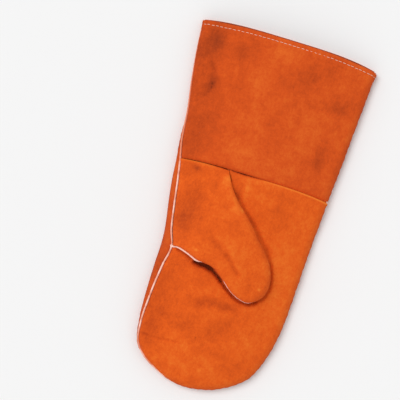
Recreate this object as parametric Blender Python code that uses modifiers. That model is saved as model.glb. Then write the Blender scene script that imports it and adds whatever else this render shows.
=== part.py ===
"""Welding mitt of orange split cowhide, for the right hand, lying palm up.

The cuff mouth faces +Y, the fingertip -Y and the thumb -X. The mitt rests on z = 0, with the
origin under the middle of its outline. The numbers in the tables are millimetres, and MM turns
them into metres where a mesh or a curve is made.

Every leather panel is one sheet of the mitt's outer skin, thickened inwards to the wall. The skin
is lofted through stations. A station is a row that runs from the left edge of the outline up to a
spine in the middle and down to the right edge. Past the knuckles the rows fan out round the end
of the spine, so that the last one folds shut along the line to the fingertip.
"""
import math
from bisect import bisect_right
from collections import namedtuple
from functools import partial

import bmesh
import bpy

MM = 0.001
HALVINGS = 30  # of an interval, when a row is looked up by its y

# Leather and seams
WALL = 1.6  # split cowhide
HEM_WALL = 3.2  # the leather is turned over once at the cuff mouth
HEM_WIDTH = 8.0
HEM_STEP = 1.0  # the wall thins back to one layer over this
WELT_RADIUS = 0.9  # strip of pale leather caught in a seam
WELT_SINK = 0.3  # depth of its middle below the skin
SEAM_HALF = 1.4  # from a welt's middle to the panel beside it
THUMB_SEAM_HALF = 1.7  # the same along the thumb, whose edge is tighter
FOLD_GAP = 1.2  # between the two faces under the thumb's fold
FRONT_TRIM = 1.2  # the front of the cuff ends this much short of the back
GAP = 0.3  # between pieces that touch
CROSS_SEAM_HALF = 0.2  # plain seam between cuff and palm
CROSS_SEAM_DIP = 1.6  # the skin is drawn down there
CROSS_SEAM_SPREAD = 4.0

# The rounded edge of the mitt, an elliptical quarter above and one below the widest line
EDGE_IN = 7.5
EDGE_RISE = 7.0
EDGE_DROP = 7.0

# The rounded edge of the thumb
THUMB_IN = 6.0
THUMB_EDGE_LIFT = 6.4  # of its lower edge over the palm, away from the crotch
LOWEST_EDGE_LIFT = 1.8  # the same beside the crotch, where the inner face starts

# Hidden edges below the thumb: the palm's, and the inner face's where it is sewn to the palm
CROTCH = (-54.4, -51.0)
PALM_EDGE = (CROTCH, (-18.2, 29.2))
INNER_EDGE = [(-47.0, -53.5), (-40.0, -45.0), (-30.5, -32.0), (-13.5, 21.5)]

# Rows along the mitt and columns across half of it
CUFF_ROW_STEP = 10.0
PALM_ROW_STEP = 8.0
TOP_COLUMNS = 10
FLOOR_COLUMNS = 3
WRAP_COLUMNS = 7
THUMB_ROW_STEP = 7.5
THUMB_COLUMNS = 10
INNER_COLUMNS = 12
CLOSER_AT_SEAM = 1.5  # power that draws columns towards a seam, where the skin turns
CLOSER_AT_THUMB_SEAM = 1.6
SLOPE_SPAN = 0.5  # mm to either side of a point, over which the skin's slope is taken

Station = namedtuple(
    "Station",
    "left_x left_y right_x right_y spine_x spine_y bow crown left_climb right_climb",
)
# bow: how square the row's ends are; crown: height of the skin over the spine; climb: how far the
# side seam lies above the widest line (below it where negative), measured along the skin
BODY = [
    Station(-90.4, 174.9, 90.4, 174.2, 0.0, 180.8, 3.5, 25.0, -2.5, -4.0),
    Station(-87.8, 144.0, 88.2, 144.0, 0.0, 149.5, 3.5, 25.0, -2.0, -4.0),
    Station(-83.8, 114.0, 86.0, 114.0, 0.0, 118.9, 3.5, 25.0, -0.5, -4.0),
    Station(-79.3, 84.0, 84.4, 84.0, 0.5, 88.2, 3.5, 25.5, 2.0, -4.0),
    Station(-76.8, 53.0, 82.3, 53.0, 1.0, 56.7, 3.5, 26.5, 4.0, -4.0),
    Station(-75.1, 35.2, 80.8, 35.2, 1.0, 38.6, 3.5, 27.0, 6.5, -4.0),
    Station(-72.4, 13.0, 79.9, 13.0, 1.0, 14.5, 2.5, 28.0, 8.0, -4.0),
    Station(-69.3, -7.0, 78.8, -7.0, 1.0, -7.0, 1.0, 28.0, 9.0, -4.0),
    Station(-66.6, -34.0, 77.3, -34.0, 1.0, -34.0, 1.0, 28.0, 10.6, -4.0),
    Station(-65.4, -51.0, 76.8, -51.0, 1.0, -51.0, 1.0, 28.0, 14.6, -4.0),
    Station(-65.9, -70.0, 76.2, -69.0, 1.0, -70.0, 1.0, 28.0, 12.0, -4.0),
    Station(-66.0, -92.0, 75.2, -90.0, 0.5, -89.0, 1.0, 28.0, 9.6, -4.0),
    Station(-65.6, -112.0, 72.6, -110.0, -0.5, -103.0, 1.0, 27.5, 7.8, -4.0),
    Station(-64.0, -131.0, 67.8, -131.0, -2.0, -114.0, 1.0, 26.5, 5.2, -4.0),
    Station(-60.0, -151.0, 59.5, -151.0, -3.0, -121.5, 1.0, 26.0, 3.8, -3.6),
    Station(-50.5, -162.5, 49.0, -162.5, -4.0, -125.5, 1.0, 26.0, 2.8, -3.2),
    Station(-33.0, -172.6, 30.0, -174.0, -5.0, -128.5, 1.0, 26.0, 0.8, -2.8),
    Station(-18.0, -178.6, 14.0, -179.0, -5.6, -129.6, 1.0, 26.0, -1.0, -2.4),
    Station(-3.0, -180.9, -3.0, -180.9, -6.0, -130.0, 1.0, 26.0, -2.0, -2.0),
]
CROSS_SEAM_SPINE_Y = 38.6

ThumbStation = namedtuple(
    "ThumbStation",
    "left_x left_y right_x right_y spine_x spine_y"
    " left_lift right_lift left_shoulder right_shoulder crown fold_end",
)
# lift: height of the widest line above the palm; shoulder: how far the rounded edge rises above
# that line; crown: height of the skin over the palm at the spine; fold_end: where the outer face
# ends at the fold on the right, above the widest line or, where negative, turned under it
THUMB = [
    ThumbStation(-69.3, 35.4, -22.6, 38.2, -46.0, 37.4, 0.0, 0.0, 0.0, 0.0, 0.0, 0.0),
    ThumbStation(-69.2, 25.0, -18.2, 29.2, -43.5, 27.5, 0.0, 3.2, 0.2, 1.6, 3.4, -2.5),
    ThumbStation(-68.0, 14.0, -13.5, 21.5, -40.0, 16.0, 0.0, 5.0, 0.5, 3.6, 7.4, -3.5),
    ThumbStation(-65.0, -6.0, -4.0, 10.6, -34.0, 0.0, 0.0, 6.5, 0.8, 5.2, 11.6, -4.0),
    ThumbStation(-61.0, -31.0, 8.0, 0.0, -26.0, -17.0, 0.0, 7.0, 1.4, 6.0, 14.4, -5.0),
    ThumbStation(-54.6, -50.6, 19.0, -11.8, -17.0, -31.0, 2.0, 7.0, 3.6, 6.0, 15.6, -5.0),
    ThumbStation(-43.0, -51.4, 27.0, -20.0, -7.0, -37.5, 4.4, 7.0, 5.2, 6.0, 16.0, -5.0),
    ThumbStation(-28.6, -55.6, 36.0, -28.5, 5.0, -43.5, 6.4, 7.0, 5.6, 6.0, 16.0, -5.0),
    ThumbStation(-11.0, -58.8, 44.4, -40.6, 16.0, -50.0, 6.8, 7.0, 5.6, 5.8, 15.6, -5.0),
    ThumbStation(3.0, -68.2, 49.0, -54.0, 24.5, -57.0, 6.8, 7.0, 5.4, 5.4, 14.8, -5.0),
    ThumbStation(14.0, -77.4, 49.9, -66.0, 29.5, -62.0, 6.8, 6.8, 5.2, 5.2, 14.0, -4.0),
    ThumbStation(24.2, -82.2, 46.6, -75.4, 32.0, -65.5, 6.6, 6.6, 5.0, 5.0, 13.2, -1.5),
    ThumbStation(34.6, -83.6, 34.6, -83.6, 32.6, -67.5, 6.6, 6.6, 5.0, 5.0, 12.8, THUMB_SEAM_HALF),
]
CROTCH_STATION = 5
INNER_FACE_FROM = 3  # the thumb station where the inner face starts, since it is flat above it

# Where the leather is drawn in. A fold follows a line and a dent is an oval with no turn. Both are
# deepest in the middle, and at their spread or half width a third of that is left.
Fold = namedtuple("Fold", "points depth spread")
Dent = namedtuple("Dent", "x y half_x half_y depth")
CUFF_FOLDS = [
    Fold([(-67.0, 128.0), (-63.0, 114.0), (-66.0, 104.0)], 1.0, 5.0),
    Fold([(37.0, 121.0), (54.0, 122.0), (70.0, 126.0)], 0.6, 5.0),
    Fold([(57.0, 86.0), (60.0, 66.0)], 0.6, 5.0),
]
CUFF_DENTS = [
    Dent(-68.0, 157.0, 9.0, 11.0, 0.9),
    Dent(28.0, 150.0, 22.0, 12.0, 0.8),
    Dent(-44.0, 152.0, 13.0, 10.0, 0.6),
    Dent(-57.0, 74.0, 11.0, 20.0, 0.8),
]
# The palm is pressed down beside the thumb's lower edge and round its tip, and sags below it
PALM_FOLDS = [
    Fold([(-43.0, -56.0), (-25.0, -59.5), (-9.0, -63.0), (3.0, -71.5), (18.0, -82.0)], 6.0, 4.5),
    Fold([(27.0, -86.0), (36.0, -85.5), (44.0, -81.0)], 2.4, 4.0),
    Fold([(-16.0, -96.0), (2.0, -92.0), (24.0, -93.0)], 0.8, 6.0),
    Fold([(-4.0, -128.0), (12.0, -118.0), (26.0, -104.0)], 0.7, 7.0),
]
PALM_DENTS = [
    Dent(10.0, -121.0, 13.0, 9.0, 0.8),
    Dent(-15.0, -118.0, 10.0, 9.0, 0.5),
    Dent(47.0, 6.0, 14.0, 13.0, 0.6),
]
# The thumb bends in the middle of its length, and its root is slack beside the side seam
THUMB_FOLDS = [
    Fold([(-18.2, -32.5), (-9.0, -37.5), (-0.1, -43.7), (8.0, -50.5), (15.9, -58.7)], 1.7, 3.4),
]
THUMB_DENTS = [Dent(-44.0, -2.0, 12.0, 20.0, 0.8)]

Paint = namedtuple("Paint", "colour roughness")
ORANGE_SUEDE = Paint((0.70, 0.10, 0.018, 1.0), 0.92)
DEEP_ORANGE_SUEDE = Paint((0.60, 0.08, 0.015, 1.0), 0.92)
PALE_WELT_LEATHER = Paint((0.80, 0.68, 0.62, 1.0), 0.75)


class Loft:
    """Stations read as smooth curves over the distance travelled along them."""

    def __init__(self, stations):
        self.kind = type(stations[0])
        self.stations = stations
        self.at = [0.0]
        for before, after in zip(stations, stations[1:]):
            self.at.append(self.at[-1] + self.travel(before, after))
        self.length = self.at[-1]

    @staticmethod
    def travel(before, after):
        left = math.hypot(after.left_x - before.left_x, after.left_y - before.left_y)
        right = math.hypot(after.right_x - before.right_x, after.right_y - before.right_y)
        return (left + right) / 2

    def slope(self, column, index):
        if index == len(self.stations) - 1:
            return self.slope_at_tip(column)
        low = max(index - 1, 0)
        rise = self.stations[index + 1][column] - self.stations[low][column]
        return rise / (self.at[index + 1] - self.at[low])

    def slope_at_tip(self, column):
        """At the tip each side runs on into the other one."""
        name = self.kind._fields[column]
        swapped = {"left": "right", "right": "left"}
        side = name.split("_")[0]
        beyond = name.replace(side, swapped.get(side, side))
        before = self.stations[-2]
        return (getattr(before, beyond) - before[column]) / (2 * (self.at[-1] - self.at[-2]))

    def row(self, distance):
        """The station at a distance from the first one, by a cubic through its neighbours."""
        index = min(max(bisect_right(self.at, distance) - 1, 0), len(self.at) - 2)
        span = self.at[index + 1] - self.at[index]
        t = (distance - self.at[index]) / span
        start_weight = 2 * t**3 - 3 * t**2 + 1
        end_weight = 3 * t**2 - 2 * t**3
        start_pull = (t**3 - 2 * t**2 + t) * span
        end_pull = (t**3 - t**2) * span
        values = []
        for column in range(len(self.kind._fields)):
            value = start_weight * self.stations[index][column]
            value += end_weight * self.stations[index + 1][column]
            value += start_pull * self.slope(column, index)
            value += end_pull * self.slope(column, index + 1)
            values.append(value)
        return self.kind(*values)

    def distance_at_spine_y(self, y):
        """How far along the loft the spine passes a given y, which falls all the way."""
        low, high = 0.0, self.length
        for _ in range(HALVINGS):
            middle = (low + high) / 2
            if self.row(middle).spine_y > y:
                low = middle
            else:
                high = middle
        return low


body = Loft(BODY)
thumb = Loft(THUMB)
CROSS_SEAM_AT = body.distance_at_spine_y(CROSS_SEAM_SPINE_Y)
CROSS_SEAM_ROW = body.row(CROSS_SEAM_AT)


def quarter_length(inward, rise):
    """Length of an elliptical quarter, near enough for the flat ones used here."""
    return math.pi / 2 * math.sqrt((inward**2 + rise**2) / 2)


EDGE_QUARTER = quarter_length(EDGE_IN, EDGE_RISE)
THUMB_QUARTER = quarter_length(THUMB_IN, THUMB_IN)


def round_over(travel, quarter, inward, rise):
    """How far in and up a point lies after a travel round the edge and then straight on."""
    if travel >= quarter:
        return inward + travel - quarter, rise
    angle = math.pi / 2 * travel / quarter
    return inward * (1 - math.cos(angle)), rise * math.sin(angle)


def edge_of(row, side):
    if side < 0:
        return row.left_x, row.left_y
    return row.right_x, row.right_y


def run_of(row, side):
    """Length of the row from its edge to the spine."""
    x, y = edge_of(row, side)
    return math.hypot(row.spine_x - x, row.spine_y - y)


def reach_of(row, side, quarter, inward):
    """Travel along the skin from the widest line to the spine."""
    return quarter + run_of(row, side) - inward


def cross_seam_y(x):
    """The cross seam's y, which drops a little towards both edges."""
    row = CROSS_SEAM_ROW
    edge_x, edge_y = edge_of(row, -1 if x < row.spine_x else 1)
    share = min(max((x - edge_x) / (row.spine_x - edge_x), 0.0), 1.0)
    return edge_y + (row.spine_y - edge_y) * (1 - (1 - share) ** row.bow)


def cross_seam_dip(x, y):
    return CROSS_SEAM_DIP * math.exp(-(((y - cross_seam_y(x)) / CROSS_SEAM_SPREAD) ** 2))


def crowned(row, share):
    """Rise of the skin over the rounded edge, at a share of the way to the spine."""
    return (row.crown - EDGE_DROP - EDGE_RISE) * (1 - (1 - share) ** 2)


def body_point(row, side, climb):
    """A point of the mitt's outer skin, climb being the travel above the widest line."""
    edge_x, edge_y = edge_of(row, side)
    inset, rise = round_over(abs(climb), EDGE_QUARTER, EDGE_IN, EDGE_RISE)
    share = min(inset / run_of(row, side), 1.0)
    x = edge_x + (row.spine_x - edge_x) * share
    y = edge_y + (row.spine_y - edge_y) * (1 - (1 - share) ** row.bow)
    if climb < 0:
        return x, y, EDGE_DROP * (1 - rise / EDGE_RISE)
    return x, y, EDGE_DROP + rise + crowned(row, share) - cross_seam_dip(x, y)


def top_height(x, y):
    """Height of the mitt's top skin over a point that lies above the fan of rows."""
    row = body.row(body.distance_at_spine_y(y))
    edge_x, _ = edge_of(row, -1 if x < row.spine_x else 1)
    inset = abs(x - edge_x)
    share = min(inset / abs(row.spine_x - edge_x), 1.0)
    lean = min(inset / EDGE_IN, 1.0)
    rise = EDGE_RISE * math.sqrt(1 - (1 - lean) ** 2)
    return EDGE_DROP + rise + crowned(row, share) - cross_seam_dip(x, y)


def distance_to_stretch(x, y, start, end):
    """How far a point is from a straight stretch."""
    along_x, along_y = end[0] - start[0], end[1] - start[1]
    share = ((x - start[0]) * along_x + (y - start[1]) * along_y) / (along_x**2 + along_y**2)
    share = min(max(share, 0.0), 1.0)
    return math.hypot(x - start[0] - along_x * share, y - start[1] - along_y * share)


def drawn_in(point, folds, dents):
    """A point of the skin, let down by the folds and dents that reach it."""
    x, y, z = point
    for fold in folds:
        stretches = zip(fold.points, fold.points[1:])
        away = min(distance_to_stretch(x, y, start, end) for start, end in stretches)
        z -= fold.depth * math.exp(-((away / fold.spread) ** 2))
    for dent in dents:
        away = math.hypot((x - dent.x) / dent.half_x, (y - dent.y) / dent.half_y)
        z -= dent.depth * math.exp(-(away**2))
    return x, y, z


def line_x(line, y):
    """The x at which a slanting line passes a given y."""
    (start_x, start_y), (end_x, end_y) = line
    return start_x + (end_x - start_x) * (y - start_y) / (end_y - start_y)


def palm_edge_x(y):
    """Left edge of the palm above the crotch: under the thumb, then beside its fold."""
    end = PALM_EDGE[1]
    if y <= end[1]:
        return line_x(PALM_EDGE, y)
    return line_x((end, (THUMB[0].right_x, THUMB[0].right_y)), y) + 2 * GAP


def palm_start(row):
    """Travel at which the palm begins on its left side."""
    seam = row.left_climb + SEAM_HALF
    if row.left_y < CROTCH[1]:
        return seam
    inset = palm_edge_x(row.spine_y) - row.left_x
    return max(seam, EDGE_QUARTER + inset - EDGE_IN)


def thumb_point(row, side, travel):
    """A point of the thumb's skin: the outer face above its widest line, the inner one below."""
    edge_x, edge_y = edge_of(row, side)
    lift, shoulder = row.left_lift, row.left_shoulder
    if side > 0:
        lift, shoulder = row.right_lift, row.right_shoulder
    inset, lean = round_over(abs(travel), THUMB_QUARTER, THUMB_IN, 1.0)
    share = min(inset / run_of(row, side), 1.0)
    x = edge_x + (row.spine_x - edge_x) * share
    y = edge_y + (row.spine_y - edge_y) * share
    y = min(y, cross_seam_y(x) - CROSS_SEAM_HALF)
    palm = top_height(x, y)
    if travel < 0:
        return x, y, palm + lift - (lift - GAP) * lean
    dome = (row.crown - lift - shoulder) * (1 - (1 - share) ** 2)
    return x, y, palm + lift + shoulder * lean + dome


def parts_between(start, end, count):
    """Distances that divide the way from start to end into equal parts."""
    return [start + (end - start) * index / count for index in range(count + 1)]


def side_seam_x(y):
    """The side seam's x on the left, at a given y of the edge."""
    low, high = 0.0, body.length
    for _ in range(HALVINGS):
        middle = (low + high) / 2
        if body.row(middle).left_y > y:
            low = middle
        else:
            high = middle
    row = body.row(low)
    return body_point(row, -1, row.left_climb)[0]


def thumb_row(distance):
    """A row of the thumb, whose left end is on the side seam down to the crotch."""
    row = thumb.row(distance)
    if row.left_y <= CROTCH[1]:
        return row
    return row._replace(left_x=side_seam_x(row.left_y))


def thumb_start(row):
    """Travel at which the outer face starts on its left: beside the side seam, then the welt."""
    turn = math.acos(1 - SEAM_HALF / THUMB_IN)
    beside_seam = THUMB_QUARTER * turn / (math.pi / 2)
    share = min(row.left_lift / THUMB[CROTCH_STATION + 1].left_lift, 1.0)
    return beside_seam + (THUMB_SEAM_HALF - beside_seam) * share


def steps_between(start, end, step):
    """Distances from start to end, all about one step apart."""
    return parts_between(start, end, max(round((end - start) / step), 1))


def body_distances():
    """Rows from the mouth to the fingertip, closer at the hem and beside the cross seam."""
    beside = (CROSS_SEAM_AT - CROSS_SEAM_SPREAD, CROSS_SEAM_AT + CROSS_SEAM_SPREAD)
    cuff = steps_between(HEM_WIDTH + HEM_STEP, beside[0], CUFF_ROW_STEP)
    palm = steps_between(beside[1], body.length, PALM_ROW_STEP)
    return [0.0, HEM_WIDTH] + cuff, palm


CUFF_ROWS, PALM_ROWS = body_distances()
THUMB_ROWS = steps_between(0.0, thumb.length, THUMB_ROW_STEP)


def remove_everything():
    for thing in list(bpy.data.objects):
        bpy.data.objects.remove(thing, do_unlink=True)


def material(name, paint):
    made = bpy.data.materials.new(name)
    made.use_nodes = True
    shader = made.node_tree.nodes["Principled BSDF"]
    shader.inputs["Base Color"].default_value = paint.colour
    shader.inputs["Roughness"].default_value = paint.roughness
    shader.inputs["Metallic"].default_value = 0.0
    return made


def add_object(name, data, paint, collection):
    thing = bpy.data.objects.new(name, data)
    thing.data.materials.append(material(name + "_leather", paint))
    collection.objects.link(thing)
    return thing


def sheet_object(name, rows, columns, place, paint, collection, folds_shut=False, outward_z=1):
    """One panel: a grid mapped by place(row index, column index), thickened inwards."""
    mesh = bmesh.new()
    bmesh.ops.create_grid(mesh, x_segments=columns - 1, y_segments=rows - 1, size=1.0)
    for index, vertex in enumerate(mesh.verts):
        x, y, z = place(index // columns, index % columns)
        vertex.co = (x * MM, y * MM, z * MM)
    if folds_shut:
        last_row = [vertex for vertex in mesh.verts if vertex.index >= (rows - 1) * columns]
        bmesh.ops.remove_doubles(mesh, verts=last_row, dist=GAP * MM / 10)
    mesh.normal_update()
    if sum(face.normal.z * face.calc_area() for face in mesh.faces) * outward_z < 0:
        bmesh.ops.reverse_faces(mesh, faces=mesh.faces)
    data = bpy.data.meshes.new(name)
    mesh.to_mesh(data)
    mesh.free()
    data.shade_smooth()
    thing = add_object(name, data, paint, collection)
    wall = thing.modifiers.new("Leather thickness", "SOLIDIFY")
    wall.thickness = WALL * MM
    wall.offset = -1.0
    wall.use_even_offset = True
    wall.use_quality_normals = True
    return thing


def double_the_hem(thing, columns):
    """Thickens the first two rows, which are the hem's, to the turned-over leather."""
    hem = thing.vertex_groups.new(name="hem")
    hem.add(list(range(2 * columns)), 1.0, "REPLACE")
    wall = thing.modifiers["Leather thickness"]
    wall.thickness = HEM_WALL * MM
    wall.vertex_group = hem.name
    wall.thickness_vertex_group = WALL / HEM_WALL


def spread_to(start, end, count, lean):
    """Travels from start to end, closer together at the start when lean is above 1."""
    return [start + (end - start) * (index / count) ** lean for index in range(count + 1)]


def across(point, left, right):
    """Columns of one row: the left travels towards the spine, then the right ones back out."""
    places = [point(-1, travel) for travel in left]
    places += [point(1, travel) for travel in reversed(right[:-1])]
    return places


def top_row(row, start_left):
    """Points of a top panel's row, from its left edge over the spine to the right seam."""
    left_reach = reach_of(row, -1, EDGE_QUARTER, EDGE_IN)
    right_reach = reach_of(row, 1, EDGE_QUARTER, EDGE_IN)
    left = spread_to(start_left, left_reach, TOP_COLUMNS, CLOSER_AT_SEAM)
    right = spread_to(row.right_climb + SEAM_HALF, right_reach, TOP_COLUMNS, CLOSER_AT_SEAM)
    return across(partial(body_point, row), left, right)


def back_row(row):
    """Points of the back's row, from the left seam round the edge, under and up to the right."""
    sides = []
    for side, climb in ((-1, row.left_climb), (1, row.right_climb)):
        reach = reach_of(row, side, EDGE_QUARTER, EDGE_IN)
        wrap = spread_to(climb - SEAM_HALF, -EDGE_QUARTER, WRAP_COLUMNS, 1.0)
        sides.append(wrap + spread_to(-EDGE_QUARTER, -reach, FLOOR_COLUMNS, 1.0)[1:])
    return across(partial(body_point, row), *sides)


def build_panel(name, rows, paint, collection, **options):
    """A sheet from its rows of points."""
    columns = len(rows[0])
    return sheet_object(
        name, len(rows), columns, lambda i, j: rows[i][j], paint, collection, **options
    )


def build_cuff_front(collection):
    rows = []
    for distance in [FRONT_TRIM] + CUFF_ROWS[1:] + [CROSS_SEAM_AT - CROSS_SEAM_HALF]:
        row = body.row(distance)
        points = top_row(row, row.left_climb + SEAM_HALF)
        rows.append([drawn_in(point, CUFF_FOLDS, CUFF_DENTS) for point in points])
    cuff = build_panel("cuff_front", rows, ORANGE_SUEDE, collection)
    double_the_hem(cuff, len(rows[0]))


def build_palm_panel(collection):
    rows = []
    for distance in [CROSS_SEAM_AT + CROSS_SEAM_HALF] + PALM_ROWS:
        row = body.row(distance)
        points = top_row(row, palm_start(row))
        rows.append([drawn_in(point, PALM_FOLDS, PALM_DENTS) for point in points])
    build_panel("palm_panel", rows, ORANGE_SUEDE, collection, folds_shut=True)


def build_back_panel(collection):
    rows = [back_row(body.row(d)) for d in CUFF_ROWS + [CROSS_SEAM_AT] + PALM_ROWS]
    back = build_panel(
        "back_panel", rows, DEEP_ORANGE_SUEDE, collection, folds_shut=True, outward_z=-1
    )
    double_the_hem(back, len(rows[0]))


def build_thumb_outer(collection):
    rows = []
    for distance in THUMB_ROWS:
        row = thumb_row(distance)
        left_reach = reach_of(row, -1, THUMB_QUARTER, THUMB_IN)
        right_reach = reach_of(row, 1, THUMB_QUARTER, THUMB_IN)
        left = spread_to(thumb_start(row), left_reach, THUMB_COLUMNS, CLOSER_AT_THUMB_SEAM)
        right = spread_to(row.fold_end, right_reach, THUMB_COLUMNS, CLOSER_AT_THUMB_SEAM)
        points = across(partial(thumb_point, row), left, right)
        rows.append([drawn_in(point, THUMB_FOLDS, THUMB_DENTS) for point in points])
    build_panel("thumb_outer", rows, ORANGE_SUEDE, collection, folds_shut=True)


def inner_start(row):
    """Travel from the lower edge to the inner face, more where that edge is low over the palm."""
    lift = min(max(row.left_lift, LOWEST_EDGE_LIFT), THUMB_EDGE_LIFT)
    return THUMB_SEAM_HALF * THUMB_EDGE_LIFT / lift


def inner_face_row(row):
    """Points under the thumb from its fold back to its lower edge, or to the hidden seam."""
    starts = {-1: inner_start(row), 1: max(FOLD_GAP - row.fold_end, THUMB_SEAM_HALF)}
    reaches = {side: reach_of(row, side, THUMB_QUARTER, THUMB_IN) for side in starts}
    right_part = reaches[1] - starts[1]
    whole = right_part + reaches[-1] - starts[-1]

    def place(distance):
        if distance <= right_part:
            return thumb_point(row, 1, -starts[1] - distance)
        return thumb_point(row, -1, -reaches[-1] + distance - right_part)

    end = whole
    while end > 0 and is_left_of_inner_edge(*place(end)[:2]):
        end -= GAP
    turns = parts_between(0.0, math.pi, INNER_COLUMNS)
    return [place(end * (1 - math.cos(turn)) / 2) for turn in turns]


def is_left_of_inner_edge(x, y):
    """Whether a place lies on the palm's side of the seam that is hidden under the thumb."""
    for stretch in zip(INNER_EDGE, INNER_EDGE[1:]):
        if stretch[0][1] < y <= stretch[1][1]:
            return x < line_x(stretch, y)
    return False


def build_thumb_inner(collection):
    first = thumb.at[INNER_FACE_FROM]
    distances = [first] + [d for d in THUMB_ROWS if d > first + THUMB_ROW_STEP / 2]
    rows = [inner_face_row(thumb_row(distance)) for distance in distances]
    build_panel(
        "thumb_inner", rows, DEEP_ORANGE_SUEDE, collection, folds_shut=True, outward_z=-1
    )


def below_skin(point, row, side, travel):
    """A point WELT_SINK below the skin, square to it."""
    before, after = (point(row, side, travel + step) for step in (-SLOPE_SPAN, SLOPE_SPAN))
    edge_x, edge_y = edge_of(row, side)
    in_x, in_y = row.spine_x - edge_x, row.spine_y - edge_y
    length = math.hypot(in_x, in_y)
    in_x, in_y = in_x / length, in_y / length
    inward = (after[0] - before[0]) * in_x + (after[1] - before[1]) * in_y
    upward = after[2] - before[2]
    scale = WELT_SINK / math.hypot(inward, upward)
    x, y, z = point(row, side, travel)
    return x + in_x * upward * scale, y + in_y * upward * scale, z - inward * scale


def welt_object(name, points, collection):
    """A round strip along its points."""
    curve = bpy.data.curves.new(name, "CURVE")
    curve.dimensions = "3D"
    curve.bevel_depth = WELT_RADIUS * MM
    curve.bevel_resolution = 1
    curve.resolution_u = 1
    curve.use_fill_caps = True
    spline = curve.splines.new("POLY")
    spline.points.add(len(points) - 1)
    for place, (x, y, z) in zip(spline.points, points):
        place.co = (x * MM, y * MM, z * MM, 1.0)
    add_object(name, curve, PALE_WELT_LEATHER, collection)


def build_side_welt(collection):
    """Down the left side seam, round the fingertip and up the right one."""
    rows = [body.row(d) for d in [WELT_RADIUS] + CUFF_ROWS[1:] + [CROSS_SEAM_AT] + PALM_ROWS]
    left = [below_skin(body_point, row, -1, row.left_climb) for row in rows]
    right = [below_skin(body_point, row, 1, row.right_climb) for row in rows[:-1]]
    welt_object("side_welt", left + right[::-1], collection)


def build_thumb_welt(collection):
    """Along the thumb's lower edge, from beside the side welt to the tip."""
    first = thumb.at[CROTCH_STATION] + 2 * WELT_RADIUS
    distances = [first] + [d for d in THUMB_ROWS if d > first + THUMB_ROW_STEP / 3]
    rows = [thumb_row(distance) for distance in distances]
    welt_object("thumb_welt", [below_skin(thumb_point, row, -1, 0.0) for row in rows], collection)


def build_everything():
    remove_everything()
    collection = bpy.data.collections.new("leather_palm_work_mitt")
    bpy.context.scene.collection.children.link(collection)
    build_back_panel(collection)
    build_cuff_front(collection)
    build_palm_panel(collection)
    build_thumb_outer(collection)
    build_thumb_inner(collection)
    build_side_welt(collection)
    build_thumb_welt(collection)


build_everything()
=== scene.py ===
"""Welding mitt of orange split cowhide, for the right hand, lying palm up on a pale floor.

The cuff mouth faces +Y, the fingertip -Y and the thumb -X. The tables and the shape are in
millimetres, and MM turns them into metres where a mesh is made. Each panel is one sheet of the
mitt's outer skin with the leather's thickness below it. The skin is lofted through stations, on a
fine grid with the seams, folds and dents of worn leather. The stations are those of the model that
it dresses, or up to 2.5 mm away from them at the left side seam and at the thumb's tip.
"""
import math
from collections import namedtuple

import bmesh
import bpy
import numpy as np
from mathutils import Matrix, Vector


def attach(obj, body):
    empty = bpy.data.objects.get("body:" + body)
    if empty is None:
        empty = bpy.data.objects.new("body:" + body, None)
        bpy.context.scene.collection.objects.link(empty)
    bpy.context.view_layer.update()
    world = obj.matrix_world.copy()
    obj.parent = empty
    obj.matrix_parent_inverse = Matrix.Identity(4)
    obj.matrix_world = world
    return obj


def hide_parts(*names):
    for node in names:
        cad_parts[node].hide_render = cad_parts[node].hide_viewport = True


bl_info = {
    "name": "Leather Palm Work Mitt",
    "version": (1, 0, 0),
    "blender": (4, 5, 0),
    "location": "View3D > Sidebar > Mitt",
    "description": "Builds a suede welding mitt piece by piece",
    "category": "Object",
}

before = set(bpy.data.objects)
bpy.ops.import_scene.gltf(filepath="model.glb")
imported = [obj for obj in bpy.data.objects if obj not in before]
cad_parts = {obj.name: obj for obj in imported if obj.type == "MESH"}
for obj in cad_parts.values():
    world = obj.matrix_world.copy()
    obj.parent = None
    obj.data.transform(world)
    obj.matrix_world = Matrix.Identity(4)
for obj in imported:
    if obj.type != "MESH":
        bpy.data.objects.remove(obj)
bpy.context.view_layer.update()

MM = 0.001
NUDGE = 0.05  # mm, between the points that give a slope
FLAT_BELOW = 1e-6  # mm2 of skin; rows that crowd closer than this give no slope
TURNED_OVER = -0.5  # upright part of a direction that has come out the wrong way round
UPRIGHT = 1e-6  # least downward part of a direction that counts as facing the floor
WAVES = 9  # summed for one uneven surface
WAVE_LENGTHS = (1.4, 3.0)  # times the size of its swells

# Shape of the skin
SEAM_HALF = 0.98  # from a welt's middle to the panel beside it
ROOT_SEAM_SHARE = 0.9  # of that, where the thumb's root meets the side seam
THUMB_SEAM_HALF = 1.5
GAP = 0.3  # between pieces that touch
FOLD_GAP = 0.1  # between the two faces under the thumb's fold
CROSS_SEAM_HALF = 0.03
CROSS_SEAM_DIP = 1.6
CROSS_SEAM_SPREAD = 2.6
CROSS_SEAM_FADE = 5.0  # from the side of the mitt
EDGE_IN = 7.5  # how far in the mitt's rounded edge goes from its widest line
EDGE_RISE = 7.0  # how far up
EDGE_DROP = 7.0  # height of the widest line over the floor
THUMB_IN = 6.0
CROTCH = (-54.4, -51.0)  # where the thumb's lower edge meets the side seam
PALM_EDGE = (CROTCH, (-18.2, 29.2))  # the palm's left edge, hidden under the thumb
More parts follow.
